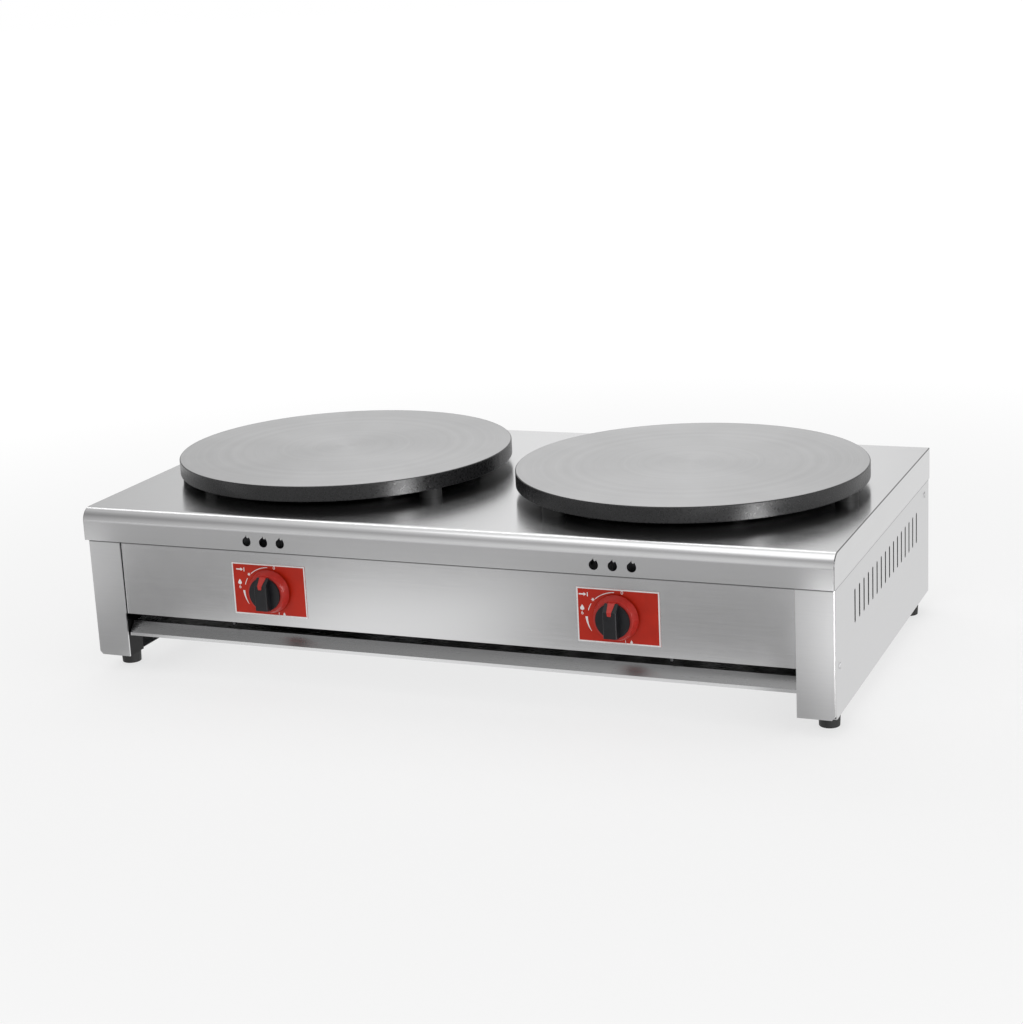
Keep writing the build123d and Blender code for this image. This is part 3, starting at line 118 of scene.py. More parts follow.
class CrepeMakerSizes(bpy.types.PropertyGroup):
    grain_width: length("Grain width", "Width of one brushed line", 0.0005)
    grain_length: length("Grain length", "Length of one brushed line", 0.030)
    ring_width: length("Ring width", "Width of one turned ring", 0.0011)
    face_radius: length("Face radius", "Radius of the machined face", 0.1986)
    print_height: length("Print height", "Thickness of the dial ink", 0.0001)
    border_width: length("Border width", "White line round the dial plates", 0.0014)
    arc_width: length("Arc width", "Thin arc of the dial print", 0.0008)
    crescent_width: length("Crescent width", "Thick end of the flame scale", 0.0027)
    digit_height: length("Digit height", "Height of the dial numbers", 0.0042)
    floor_radius: length("Floor radius", "Size of the studio floor", 30.0)


class CrepeMakerStudio(bpy.types.PropertyGroup):
    world_light: share("World light", "Even light from all round", 0.68)
    front_shade: share("Front shade", "Darkest part of the room behind the camera", 0.50)
    left_shade: share("Left shade", "Tone of the room at the back left", 0.58)
    right_shade: share("Right shade", "Tone of the room at the back right", 0.78)
    apron_floor: share("Apron floor", "Tone of the floor that the apron mirrors", 0.52)
    front_floor: share("Front floor", "Tone of the floor that the control panel mirrors", 0.39)
    front_pool: strength("Front pool", "Tone of the pool in the middle of that floor", 1.12)
    side_card: strength("Side card", "Brightness of the mirrored card at the right", 8.0)
    top_power: power("Top box", "Overhead box", 6.0)
    back_power: power("Back box", "Box at the back", 6.5)
    side_power: power("Side strip", "Strip at the right that only reflections see", 34.0)
    lens: FloatProperty(
        name="Lens", description="Focal length in mm", subtype="DISTANCE_CAMERA", default=74.51
    )
    azimuth: angle("Azimuth", "Camera bearing from the front", 22.908)
    elevation: angle("Elevation", "Camera height above the horizon", 14.819)
    roll: angle("Roll", "Camera roll", -2.867)
    distance: length("Distance", "Camera to the aimed point", 2.49549)
    aim: FloatVectorProperty(
        name="Aim",
        description="Point that the camera looks at",
        subtype="TRANSLATION",
        size=3,
        default=(-0.004216, 0.0, 0.155686),
    )


def middle_of(node):
    """The middle of a CAD node's box."""
    low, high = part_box(node)
    return (low + high) / 2


def shade(tone, amount):
    """A colour made lighter or darker."""
    return tuple(min(1.0, c * amount) for c in tone)


def rgba(tone):
    """A colour with its alpha. A socket stays as it is."""
    return tone if isinstance(tone, bpy.types.NodeSocket) else (*tone, 1.0)


class Nodes:
    """A node tree that is built one node at a time."""

    mix_sockets = {"FLOAT": (2, 3, 0), "VECTOR": (4, 5, 1), "RGBA": (6, 7, 2)}

    def __init__(self, tree):
        self.tree = tree
        self.tree.nodes.clear()
        self.at = self.add("ShaderNodeTexCoord").outputs

    def add(self, kind, **settings):
        """A node with its settings."""
        node = self.tree.nodes.new(kind)
        for key, value in settings.items():
            setattr(node, key, value)
        return node

    def feed(self, socket, value):
        """Link an input to another node's output, or set it to a plain value."""
        if isinstance(value, bpy.types.NodeSocket):
            self.tree.links.new(value, socket)
        else:
            socket.default_value = value

    def calc(self, operation, first, second=0.0):
        """One step of arithmetic."""
        node = self.add("ShaderNodeMath", operation=operation)
        self.feed(node.inputs[0], first)
        self.feed(node.inputs[1], second)
        return node.outputs[0]

    def plus(self, first, second):
        """The sum of two numbers."""
        return self.calc("ADD", first, second)

    def times(self, first, *others):
        """The product of its numbers."""
        for other in others:
            first = self.calc("MULTIPLY", first, other)
        return first

    def most(self, first, *others):
        """The largest of its numbers."""
        for other in others:
            first = self.calc("MAXIMUM", first, other)
        return first

    def weigh(self, *parts):
        """The sum of values, each given with its weight."""
        total = self.times(*parts[0])
        for part in parts[1:]:
            total = self.plus(total, self.times(*part))
        return total

    def above(self, value, limit):
        """1 above the limit, otherwise 0."""
        return self.calc("GREATER_THAN", value, limit)

    def below(self, value, limit):
        """1 below the limit, otherwise 0."""
        return self.calc("LESS_THAN", value, limit)

    def unsigned(self, value):
        """A number without its sign."""
        return self.calc("ABSOLUTE", value)

    def vector(self, operation, first, second=(0.0, 0.0, 0.0)):
        """One step of vector arithmetic."""
        node = self.add("ShaderNodeVectorMath", operation=operation)
        self.feed(node.inputs[0], first)
        self.feed(node.inputs[1], second)
        return node.outputs[1] if operation == "LENGTH" else node.outputs[0]

    def split(self, vector):
        """The x, y and z of a vector."""
        node = self.add("ShaderNodeSeparateXYZ")
        self.feed(node.inputs[0], vector)
        return tuple(node.outputs)

    def join(self, x, y, z):
        """A vector from its x, y and z."""
        node = self.add("ShaderNodeCombineXYZ")
        for socket, value in zip(node.inputs, (x, y, z)):
            self.feed(socket, value)
        return node.outputs[0]

    def span(self, value, low, high, start, end, smooth=False):
        """Value from low..high to start..end, held at both ends."""
        node = self.add("ShaderNodeMapRange")
        if smooth:
            node.interpolation_type = "SMOOTHSTEP"
        for socket, given in zip(node.inputs, (value, low, high, start, end)):
            self.feed(socket, given)
        return node.outputs[0]

    def strip(self, value, low, high, edge):
        """1 from low to high, with soft edges."""
        rise = self.span(value, low - edge, low + edge, 0.0, 1.0, smooth=True)
        return self.times(rise, self.span(value, high - edge, high + edge, 1.0, 0.0, smooth=True))

    def noise(self, vector, size, detail=3.0, rough=0.5, distortion=0.0):
        """Grain of the given size in metres, or sizes along x, y and z, from 0 to 1."""
        if isinstance(size, tuple):
            vector = self.vector("MULTIPLY", vector, tuple(1 / s for s in size))
            size = 1.0
        node = self.add("ShaderNodeTexNoise")
        self.feed(node.inputs["Vector"], vector)
        node.inputs["Scale"].default_value = 1 / size
        node.inputs["Detail"].default_value = detail
        node.inputs["Roughness"].default_value = rough
        node.inputs["Distortion"].default_value = distortion
        return node.outputs[0]

    def rings(self, radius, size):
        """Turned rings of the given width along a radius."""
        node = self.add("ShaderNodeTexNoise", noise_dimensions="1D")
        self.feed(node.inputs["W"], radius)
        node.inputs["Scale"].default_value = 1 / size
        node.inputs["Detail"].default_value = 2.0
        return node.outputs[0]

    def cells(self, vector, size):
        """Distance to scattered points that are about one size apart."""
        node = self.add("ShaderNodeTexVoronoi")
        self.feed(node.inputs["Vector"], vector)
        node.inputs["Scale"].default_value = 1 / size
        return node.outputs[0]

    def mix(self, kind, factor, first, second):
        """Numbers, vectors or colours mixed by a factor."""
        first_input, second_input, output = self.mix_sockets[kind]
        node = self.add("ShaderNodeMix", data_type=kind)
        self.feed(node.inputs[0], factor)
        self.feed(node.inputs[first_input], first)
        self.feed(node.inputs[second_input], second)
        return node.outputs[output]

    def blend(self, factor, first, second):
        """A colour between two colours."""
        return self.mix("RGBA", factor, rgba(first), rgba(second))

    def tint(self, value, low, high, first, second):
        """A colour that goes from the first to the second as value goes from low to high."""
        return self.blend(self.span(value, low, high, 0.0, 1.0), first, second)

    def relief(self, height, amount, depth):
        """Bump from a height, with its depth in metres."""
        node = self.add("ShaderNodeBump")
        node.inputs["Strength"].default_value = amount
        node.inputs["Distance"].default_value = depth
        self.feed(node.inputs["Height"], height)
        return node.outputs[0]

    def glow(self, brightness, tone=WHITE, kind="ShaderNodeEmission"):
        """Light of a tone and brightness, from a surface or from the world."""
        node = self.add(kind)
        self.feed(node.inputs[0], rgba(tone))
        self.feed(node.inputs[1], brightness)
        return node.outputs[0]

    def layer(self, factor, first, second):
        """A shader between two shaders."""
        node = self.add("ShaderNodeMixShader")
        for socket, value in zip(node.inputs, (factor, first, second)):
            self.feed(socket, value)
        return node.outputs[0]

    def ray(self, kind):
        """1 on rays of one kind."""
        return self.add("ShaderNodeLightPath").outputs[f"Is {kind} Ray"]

    def seen_rays(self):
        """1 where the camera, a reflection or a pane looks."""
        return self.most(self.ray("Camera"), self.ray("Glossy"), self.ray("Transmission"))


class Finish(Nodes):
    """One procedural material round a Principled shader."""

    def __init__(self, name):
        self.material = bpy.data.materials.new(name)
        self.material.use_nodes = True
        super().__init__(self.material.node_tree)
        self.shader = self.add("ShaderNodeBsdfPrincipled")
        output = self.add("ShaderNodeOutputMaterial")
        self.feed(output.inputs[0], self.shader.outputs[0])

    def plain(self, **values):
        """Numbers that are the same all over, on the shader's own sockets."""
        for key, value in values.items():
            self.shader.inputs[key.replace("_", " ")].default_value = value

    def drive(self, **sockets):
        """Linked inputs of the shader."""
        for key, value in sockets.items():
            self.feed(self.shader.inputs[key.replace("_", " ")], value)


def brushed_sheet(name, tone, roughness, anisotropy, sizes, marks=None, bends=None):
    """Brushed sheet metal, its grain level and running round the case.

    marks gives painted shade for what a sheet of its own shape has, such as shade under the plates,
    in joints and on inner faces. It takes the finish and the place and normal of a point, and gives
    how dark the sheet is there. bends takes the normal, the colour and the roughness, and gives the
    last two as they are on the bends.
    """
    f = Finish(name)
    place = f.at["Object"]
    x, y, z = f.split(place)
    normal = f.split(f.at["Normal"])
    on_side = f.above(f.unsigned(normal[0]), 0.7)
    along = f.mix("VECTOR", on_side, place, f.join(y, z, x))
    line = Vector((sizes.grain_length, sizes.grain_width, sizes.grain_width))
    fine = f.noise(along, tuple(line), detail=2.0)
    coarse = f.noise(along, tuple(5 * line), detail=2.0)
    clouds = f.noise(place, 0.16, rough=0.55)
    smears = f.noise(place, 0.035, detail=4.0, rough=0.6, distortion=1.5)
    grain = f.weigh((fine, 0.6), (coarse, 0.4))
    stain = f.weigh((clouds, 0.6), (smears, 0.4))
    value = f.weigh((grain, 0.5), (stain, 0.5))
    base = f.tint(value, 0.3, 0.7, shade(tone, 0.95), shade(tone, 1.04))
    if marks:
        # Painted shade: the marks darken the sheet towards 2% of its tone.
        base = f.blend(marks(f, (x, y, z), normal), base, shade(tone, 0.02))
    gloss = f.span(value, 0.3, 0.7, roughness - 0.04, roughness + 0.04)
    if bends:
        base, gloss = bends(f, normal, base, gloss)
    grain_line = f.mix("VECTOR", on_side, (1.0, 0.0, 0.0), (0.0, 1.0, 0.0))
    true_normal = f.add("ShaderNodeNewGeometry").outputs["Normal"]
    across = f.vector("CROSS_PRODUCT", true_normal, grain_line)
    f.plain(Metallic=1.0, Anisotropic=anisotropy)
    f.drive(Base_Color=base, Roughness=gloss, Normal=f.relief(grain, 0.12, 0.04 * MM), Tangent=across)
    return f.material


def rolled_bends(f, normal, base, gloss):
    """Smoother wherever the sheet isn't level, where the rollers have pressed it."""
    return base, f.span(normal[2], 0.985, 0.997, 0.17, gloss)


def darkened_bends(f, normal, base, gloss):
    """A darker tone and an even roughness on the narrow bends between flat faces: painted shade that
    keeps their glint thin.
    """
    x, y, z = normal
    flatness = f.most(f.unsigned(x), f.unsigned(y), f.unsigned(z))
    base = f.tint(flatness, 0.95, 0.985, (0.50, 0.50, 0.50), base)
    return base, f.span(flatness, 0.95, 0.985, 0.32, gloss)


def joint_shade(f, value, joint, reach, full):
    """Painted shade at a joint, from nothing at reach before it to full a little nearer."""
    return f.span(value, joint - reach, joint - full, 0.0, 0.78)


def cover_painted_shade(f, place, normal):
    """Painted shade round the burner openings, as the shade and dark reflection under the plates, on the
    inside faces, and on the bends at both ends as a dark reflection.
    """
    x, y, z = place
    plate = middle_of("right_crepe_plate")
    spoke = f.join(f.plus(f.unsigned(x), -plate.x), f.plus(y, -plate.y), 0.0)
    # Painted shade under the plates: full within 168 mm of a plate's axis, gone at 192 mm, and only near
    # the cover's top.
    full_shade_radius, shade_end_radius = 0.168, 0.192
    plate_shade = f.span(f.vector("LENGTH", spoke), full_shade_radius, shade_end_radius, 1.0, 0.0, smooth=True)
    collar_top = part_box("top_cover")[1].z
    plate_shade = f.times(plate_shade, f.span(z, collar_top - 0.0125, collar_top - 0.0075, 0.0, 1.0))
    # Painted shade on the underside and on the apron's inner face.
    inside = f.below(normal[2], -0.5)
    behind_apron = f.times(f.above(normal[1], 0.5), f.below(y, 0.0))
    # Painted dark reflection on the bends at both ends.
    end = f.unsigned(normal[0])
    end_bend_shade = f.times(f.span(end, 0.12, 0.3, 0.0, 0.8), f.span(end, 0.93, 0.99, 1.0, 0.0))
    return f.most(plate_shade, inside, behind_apron, end_bend_shade)


def panel_painted_shade(f, place, normal):
    """Painted shade under the apron, against the legs, and on the inner face."""
    apron_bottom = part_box("top_cover")[0].z
    panel_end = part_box("control_panel")[1].x
    # Painted shade: a dark band under the apron and a dark line against each leg.
    under_apron = joint_shade(f, place[2], apron_bottom, reach=0.0045, full=0.0035)
    at_leg = joint_shade(f, f.unsigned(place[0]), panel_end, reach=0.0008, full=0.0005)
    return f.most(f.above(normal[1], 0.5), under_apron, at_leg)


def side_painted_shade(f, place, normal):
    """Painted shade under the apron, on the vent slots' edges and on the inner faces."""
    x, y, z = place
    apron_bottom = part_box("top_cover")[0].z
    leg_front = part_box("left_side_panel")[0].y
    # Painted shade under the apron, on the legs' fronts and on the sides.
    leg_shade = joint_shade(f, z, apron_bottom, reach=0.0035, full=0.0027)
    leg_shade = f.times(f.below(normal[1], -0.7), leg_shade)
    side_apron_shade = joint_shade(f, z, apron_bottom, reach=0.0025, full=0.0019)
    # Painted shade on the slots' edges, where the vents are dark inside.
    slots_front, slots_back = -0.19, 0.22
    slots = f.times(f.above(y, slots_front), f.below(y, slots_back))
    slots = f.times(slots, f.above(f.unsigned(normal[1]), 0.3))
    # Painted shade on the inner faces, from just behind the legs' fronts.
    inside = f.below(f.times(normal[0], f.calc("SIGN", x)), -0.985)
    inside = f.times(inside, f.span(y, leg_front + 0.0016, leg_front + 0.0022, 0.0, 1.0))
    return f.most(inside, slots, leg_shade, side_apron_shade)


def tray_painted_shade(f, place, normal):
    """Painted shade on the sloping front and the pan, under the control panel, which leaves the lip
    lighter.
    """
    return f.times(f.above(normal[2], 0.2), 0.57)


def plate_iron(name, face, rim, sizes):
    """Cast iron with a turned, lightly seasoned top face and a black rim and underside."""
    f = Finish(name)
    place = f.at["Object"]
    x, y, z = f.split(place)
    plate = middle_of("right_crepe_plate")
    thickness = 0.018
    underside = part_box("right_crepe_plate")[1].z - thickness
    local_x = f.plus(x, f.times(f.calc("SIGN", x), -plate.x))
    spoke = f.join(local_x, f.plus(y, -plate.y), 0.0)
    radius = f.vector("LENGTH", spoke)
    edge = f.span(radius, sizes.face_radius, sizes.face_radius + 0.0004, 1.0, 0.0)
    on_face = f.times(f.above(f.split(f.at["Normal"])[2], 0.6), edge)
    rings = f.rings(radius, sizes.ring_width)
    wide_rings = f.rings(radius, sizes.ring_width * 9)
    clouds = f.noise(place, 0.07, detail=4.0, rough=0.55, distortion=0.4)
    turned = f.weigh((rings, 0.35), (wide_rings, 0.25), (clouds, 0.4))
    pores = f.noise(place, 1.1 * MM, rough=0.6)
    cast = f.noise(place, 2.8 * MM, detail=4.0, rough=0.6)
    # Painted shade under the plates: below the underside the rim and feet are darker and rougher.
    unshaded = f.span(z, underside - 0.0010, underside + 0.0005, 0.45, 1.0)
    face_tone = f.tint(turned, 0.35, 0.65, shade(face, 0.90), shade(face, 1.08))
    rim_tone = f.tint(cast, 0.3, 0.7, shade(rim, 0.7), shade(rim, 1.35))
    rim_tone = f.blend(unshaded, BLACK, rim_tone)
    rim_gloss = f.plus(f.span(cast, 0.3, 0.7, 0.24, 0.34), f.span(unshaded, 0.45, 1.0, 0.3, 0.0))
    rim_height = f.weigh((cast, 0.7), (pores, 0.3))
    face_height = f.times(f.plus(rings, f.times(pores, 0.4)), 0.25)
    height = f.mix("FLOAT", on_face, rim_height, face_height)
    f.plain(Anisotropic=0.3)
    f.drive(
        Base_Color=f.blend(on_face, rim_tone, face_tone),
        Roughness=f.mix("FLOAT", on_face, rim_gloss, f.span(turned, 0.3, 0.7, 0.40, 0.48)),
        Metallic=f.span(on_face, 0.0, 1.0, 0.0, 0.9),
        Normal=f.relief(height, 0.25, 0.25 * MM),
        Tangent=spoke,
    )
    return f.material


def rough_casting(name, tone):
    """Unpainted sand casting with a coarse skin and some scale."""
    f = Finish(name)
    place = f.at["Object"]
    sand = f.noise(place, 1.6 * MM, detail=4.0, rough=0.65)
    scale = f.noise(place, 22 * MM, detail=4.0, rough=0.6, distortion=0.8)
    rust = f.blend(f.span(scale, 0.52, 0.75, 0.0, 0.5), tone, (0.14, 0.075, 0.045))
    base = f.blend(f.span(sand, 0.35, 0.7, 0.0, 0.6), shade(tone, 0.6), rust)
    gloss = f.span(sand, 0.3, 0.7, 0.55, 0.75)
    f.plain(Metallic=0.4)
    f.drive(Base_Color=base, Roughness=gloss, Normal=f.relief(sand, 0.5, 0.4 * MM))
    return f.material


def spangled_zinc(name, tone):
    """Zinc-coated sheet and tube with a faint crystal pattern."""
    f = Finish(name)
    place = f.at["Object"]
    dust = f.noise(place, 50 * MM, detail=4.0, rough=0.6)
    fine = f.noise(place, 1.2 * MM, rough=0.6)
    value = f.weigh((f.cells(place, 9 * MM), 0.5), (dust, 0.5))
    base = f.tint(value, 0.25, 0.65, shade(tone, 0.82), shade(tone, 1.12))
    gloss = f.span(value, 0.25, 0.65, 0.34, 0.50)
    f.plain(Metallic=1.0)
    f.drive(Base_Color=base, Roughness=gloss, Normal=f.relief(fine, 0.15, 0.1 * MM))
    return f.material


def turned_metal(name, tone, roughness):
    """Machined or plated small part with tool marks and slight tarnish."""
    f = Finish(name)
    place = f.at["Object"]
    tool_marks = f.noise(place, (4 * MM, 0.5 * MM, 0.5 * MM), detail=2.0)
    tarnish = f.noise(place, 12 * MM, detail=4.0, rough=0.6, distortion=0.6)
    base = f.tint(tarnish, 0.35, 0.7, shade(tone, 1.05), shade(tone, 0.72))
    gloss = f.span(tarnish, 0.3, 0.7, *roughness)
    f.plain(Metallic=1.0)
    f.drive(Base_Color=base, Roughness=gloss, Normal=f.relief(tool_marks, 0.15, 0.06 * MM))
    return f.material


def moulded_plastic(name, tone, roughness, grain, wear):
    """Moulded plastic with a fine etched grain, finger marks and paler wear."""
    f = Finish(name)
    place = f.at["Object"]
    etched = f.noise(place, grain, detail=2.0)
    touch = f.noise(place, 9 * MM, rough=0.6, distortion=0.5)
    base = f.tint(touch, 0.35, 0.75, tone, shade(tone, wear))
    gloss = f.span(touch, 0.3, 0.7, *roughness)
    f.plain(IOR=1.42)
    f.drive(Base_Color=base, Roughness=gloss, Normal=f.relief(etched, 0.2, 0.08 * MM))
    return f.material


def printed_metal(name, tone, roughness):
    """Screen-printed ink with slight unevenness and a fine orange peel."""
    f = Finish(name)
    place = f.at["Object"]
    peel = f.noise(place, 1.4 * MM, detail=2.0)
    cloud = f.noise(place, 20 * MM, rough=0.6)
    base = f.tint(cloud, 0.3, 0.7, shade(tone, 0.92), shade(tone, 1.08))
    gloss = f.span(cloud, 0.3, 0.7, *roughness)
    f.plain(IOR=1.38)
    f.drive(Base_Color=base, Roughness=gloss, Normal=f.relief(peel, 0.08, 0.08 * MM))
    return f.material


def foot_rubber(name, tone):
    """Moulded rubber with a dull, slightly dusty skin."""
    f = Finish(name)
    place = f.at["Object"]
    skin = f.noise(place, 0.9 * MM, rough=0.6)
    dust = f.noise(place, 12 * MM, detail=4.0, rough=0.6)
    base = f.blend(f.span(dust, 0.45, 0.8, 0.0, 0.7), tone, shade(tone, 3.0))
    gloss = f.span(dust, 0.3, 0.7, 0.55, 0.72)
    f.drive(Base_Color=base, Roughness=gloss, Normal=f.relief(skin, 0.3, 0.12 * MM))
    return f.material


def glazed_ceramic(name, tone):
    """Glazed ceramic with a faint crackle and a scorched end."""
    f = Finish(name)
    place = f.at["Object"]
    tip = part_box("left_electrode")[1].z
    height = f.plus(f.split(place)[2], f.times(f.noise(place, 4 * MM), 0.01))
    base = f.blend(f.span(height, tip - 0.020, tip + 0.002, 0.0, 0.8), tone, (0.09, 0.075, 0.06))
    gloss = f.span(f.noise(place, 3 * MM, detail=2.0), 0.3, 0.7, 0.15, 0.30)
    crackle = f.cells(place, 3 * MM)
    f.plain(Coat_Weight=0.4)
    f.drive(Base_Color=base, Roughness=gloss, Normal=f.relief(crackle, 0.05, 0.1 * MM))
    return f.material


def heat_tinted_copper(name, tone):
    """Drawn copper that is darker and bluish towards the flame."""
    f = Finish(name)
    place = f.at["Object"]
    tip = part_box("left_thermocouple")[1].z
    height = f.plus(f.split(place)[2], f.times(f.noise(place, 6 * MM), 0.02))
    heat = f.span(height, tip - 0.028, tip + 0.012, 0.0, 0.9)
    tarnish = f.noise(place, 10 * MM, detail=4.0, rough=0.6)
    cool = f.tint(tarnish, 0.35, 0.7, tone, shade(tone, 0.6))
    base = f.blend(heat, cool, (0.16, 0.13, 0.15))
    gloss = f.span(tarnish, 0.3, 0.7, 0.24, 0.42)
    drawn = f.noise(place, 0.8 * MM)
    f.plain(Metallic=1.0)
    f.drive(Base_Color=base, Roughness=gloss, Normal=f.relief(drawn, 0.12, 0.06 * MM))
    return f.material


def dress(material, *names):
    """Give a material to CAD nodes through their own slots."""
    for name in names:
        piece = frame["nodes"][name]
        if not piece.material_slots:
            raise RuntimeError(f"{name} has no material slot")
        for slot in piece.material_slots:
            slot.material = material


def both(*names):
    """The left and right node of each name."""
    return [f"{side}_{name}" for name in names for side in SIDES]


def new_piece(name, mesh, material, body):
    """Put a mesh in the scene as a piece that rides on a body."""
    piece = bpy.data.objects.new(name, mesh)
    bpy.context.scene.collection.objects.link(piece)
    mesh.materials.append(material)
    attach(piece, body)
    return piece


def raise_outline(cage, points, front, height):
    """Add a flat shape, given as (x, z) points, with its front at front - height."""
    back = [cage.verts.new((x, front, z)) for x, z in points]
    near = [cage.verts.new((x, front - height, z)) for x, z in points]
    cage.faces.new(near)
    cage.faces.new(list(reversed(back)))
    for i in range(len(points)):
        j = (i + 1) % len(points)
        cage.faces.new((back[i], back[j], near[j], near[i]))


def rectangle(left, bottom, right, top):
    """The corners of a rectangle."""
    return ((left, bottom), (right, bottom), (right, top), (left, top))


def border(low, high, line):
    """The four bands of a line that runs round a plate, inside its edge."""
    return (
        rectangle(low.x, low.z, high.x, low.z + line),
        rectangle(low.x, high.z - line, high.x, high.z),
        rectangle(low.x, low.z + line, low.x + line, high.z - line),
        rectangle(high.x - line, low.z + line, high.x, high.z - line),
    )


def arc_band(centre, reach, start, end, widths, steps=36):
    """A band along an ellipse from start to end in degrees, with its width at both ends."""
    inner, outer = [], []
    for i in range(steps + 1):
        part = i / steps
        turn = math.radians(start + (end - start) * part)
        half = (widths[0] + (widths[1] - widths[0]) * part) / 2
        direction = Vector((math.cos(turn), math.sin(turn)))
        point = Vector((reach[0] * direction.x, reach[1] * direction.y)) + Vector(centre)
        inner.append(tuple(point - direction * half))
        outer.append(tuple(point + direction * half))
    return inner + outer[::-1]


def flame(centre, width, height, steps=28):
    """A teardrop flame with its tip up."""
    points = []
    for i in range(steps):
        turn = 2 * math.pi * i / steps
        bulge = 0.65 * width * math.sin(turn) * math.sin(turn / 2) ** 1.5
        points.append((centre[0] + bulge, centre[1] + 0.5 * height * math.cos(turn)))
    return points


def spark(centre, long, short, spikes=6):
    """A small star."""
    points = []
    for i in range(spikes * 2):
        reach = long if i % 2 == 0 else short
        turn = math.pi * i / spikes
        points.append((centre[0] + reach * math.cos(turn), centre[1] + reach * math.sin(turn)))
    return points


def digit_mesh(digit, height, depth):
    """The outline of one digit as a mesh, standing in the XZ plane and centred."""
    text = bpy.data.curves.new("digit", "FONT")
    text.body = digit
    text.size = height * 1.4
    text.align_x = "CENTER"
    text.align_y = "CENTER"
    text.extrude = depth / 2
    text.resolution_u = 4
    holder = bpy.data.objects.new("digit", text)
    mesh = bpy.data.meshes.new_from_object(holder)
    bpy.data.objects.remove(holder)
    mesh.transform(Matrix.Rotation(math.radians(90), 4, "X"))
    return mesh


def make_dial_print(side, sizes, ink):
    """White border, arcs, flames, spark, push arrow and digits of one dial.

    Places on the dial are in mm from the knob's axis.
    """
    joint = next(j for j in frame["joints"] if j["name"] == f"{side}_knob_turn")
    axis_x, _, axis_z = joint["pos_m"]

    def at(x, z):
        """A place on the dial in metres."""
        return (axis_x + x * MM, axis_z + z * MM)

    low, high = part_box(f"{side}_dial_plate")
    front, height = low.y, sizes.print_height
    centre, thin = at(0, -0.5), sizes.arc_width
    thin_arc, flame_scale = (0.0325, 0.0275), (0.0340, 0.0320)
    push_arrow = (
        (-42, 22.2), (-36.5, 22.2), (-36.5, 20.9), (-33.6, 22.9),
        (-36.5, 24.9), (-36.5, 23.6), (-42, 23.6),
    )
    push_stop = rectangle(-32.7, 20.6, -31.7, 25.2)
    outlines = (
        *border(low, high, sizes.border_width),
        arc_band(centre, thin_arc, 94, 136, (thin, thin)),
        arc_band(centre, thin_arc, 151, 168, (thin, thin)),
        arc_band(centre, flame_scale, 182, 212, (sizes.crescent_width, thin / 2)),
        spark(at(-26.2, 17.6), 0.0024, 0.0009),
        flame(at(-38.6, 8.4), 0.0050, 0.0062),
        flame(at(15.2, -26.4), 0.0032, 0.0040),
        [at(*point) for point in push_arrow],
        [at(*point) for point in push_stop],
    )
    cage = bmesh.new()
    for outline in outlines:
        raise_outline(cage, outline, front, height)
    for digit, place in (("0", (6.4, 27.0)), ("6", (-38.6, 2.2)), ("1", (8.6, -26.9))):
        glyph = digit_mesh(digit, sizes.digit_height, height)
        x, z = at(*place)
        glyph.transform(Matrix.Translation((x, front - height / 2, z)))
        cage.from_mesh(glyph)
        bpy.data.meshes.remove(glyph)
    bmesh.ops.recalc_face_normals(cage, faces=cage.faces)
    mesh = bpy.data.meshes.new(f"{side}_dial_print")
    cage.to_mesh(mesh)
    cage.free()
    new_piece(f"{side}_dial_print", mesh, ink, "case")


def soft_box(name, place, aim, width, depth, watts):
    """A rectangular lamp that faces a point."""
    lamp = bpy.data.lights.new(name, "AREA")
    lamp.shape = "RECTANGLE"
    lamp.size, lamp.size_y, lamp.energy = width, depth, watts
    holder = bpy.data.objects.new(name, lamp)
    bpy.context.scene.collection.objects.link(holder)
    holder.location = place
    holder.rotation_mode = "QUATERNION"
    holder.rotation_quaternion = (Vector(aim) - Vector(place)).to_track_quat("-Z", "Y")
    return holder


def paint_world(studio):
    """White where it is looked at, with a darker room on the knobs' side, and an even light."""
    world = bpy.data.worlds.new("studio")
    bpy.context.scene.world = world
    world.use_nodes = True
    w = Nodes(world.node_tree)
    camera = w.ray("Camera")
    x, y, z = w.split(w.at["Generated"])
    room = w.add("ShaderNodeValToRGB")
    w.feed(room.inputs[0], z)
    # Sine of the height above the horizon, and the grey of the room there
    greys = (
        (0.0, 0.84), (0.16, 0.90), (0.41, 0.72), (0.64, studio.front_shade), (0.81, 0.74), (0.92, 1.0),
    )
    while len(room.color_ramp.elements) < len(greys):
        room.color_ramp.elements.new(0.5)
    for element, (spot, grey) in zip(room.color_ramp.elements, greys):
        element.position = spot
        element.color = (grey, grey, grey, 1.0)
    in_front = w.span(y, -0.30, 0.05, 1.0, 0.0, smooth=True)
    in_front = w.times(in_front, w.calc("SUBTRACT", 1.0, camera))
    tone = w.blend(in_front, WHITE, room.outputs[0])
    left = w.span(x, -0.62, -0.36, studio.left_shade, 1.0, smooth=True)
    right = w.span(x, -0.27, -0.12, 1.0, studio.right_shade, smooth=True)
    back = w.most(w.times(left, right), camera)
    looked_at = w.glow(back, tone, "ShaderNodeBackground")
    light = w.glow(studio.world_light, kind="ShaderNodeBackground")
    output = w.add("ShaderNodeOutputWorld")
    w.feed(output.inputs[0], w.layer(w.seen_rays(), light, looked_at))


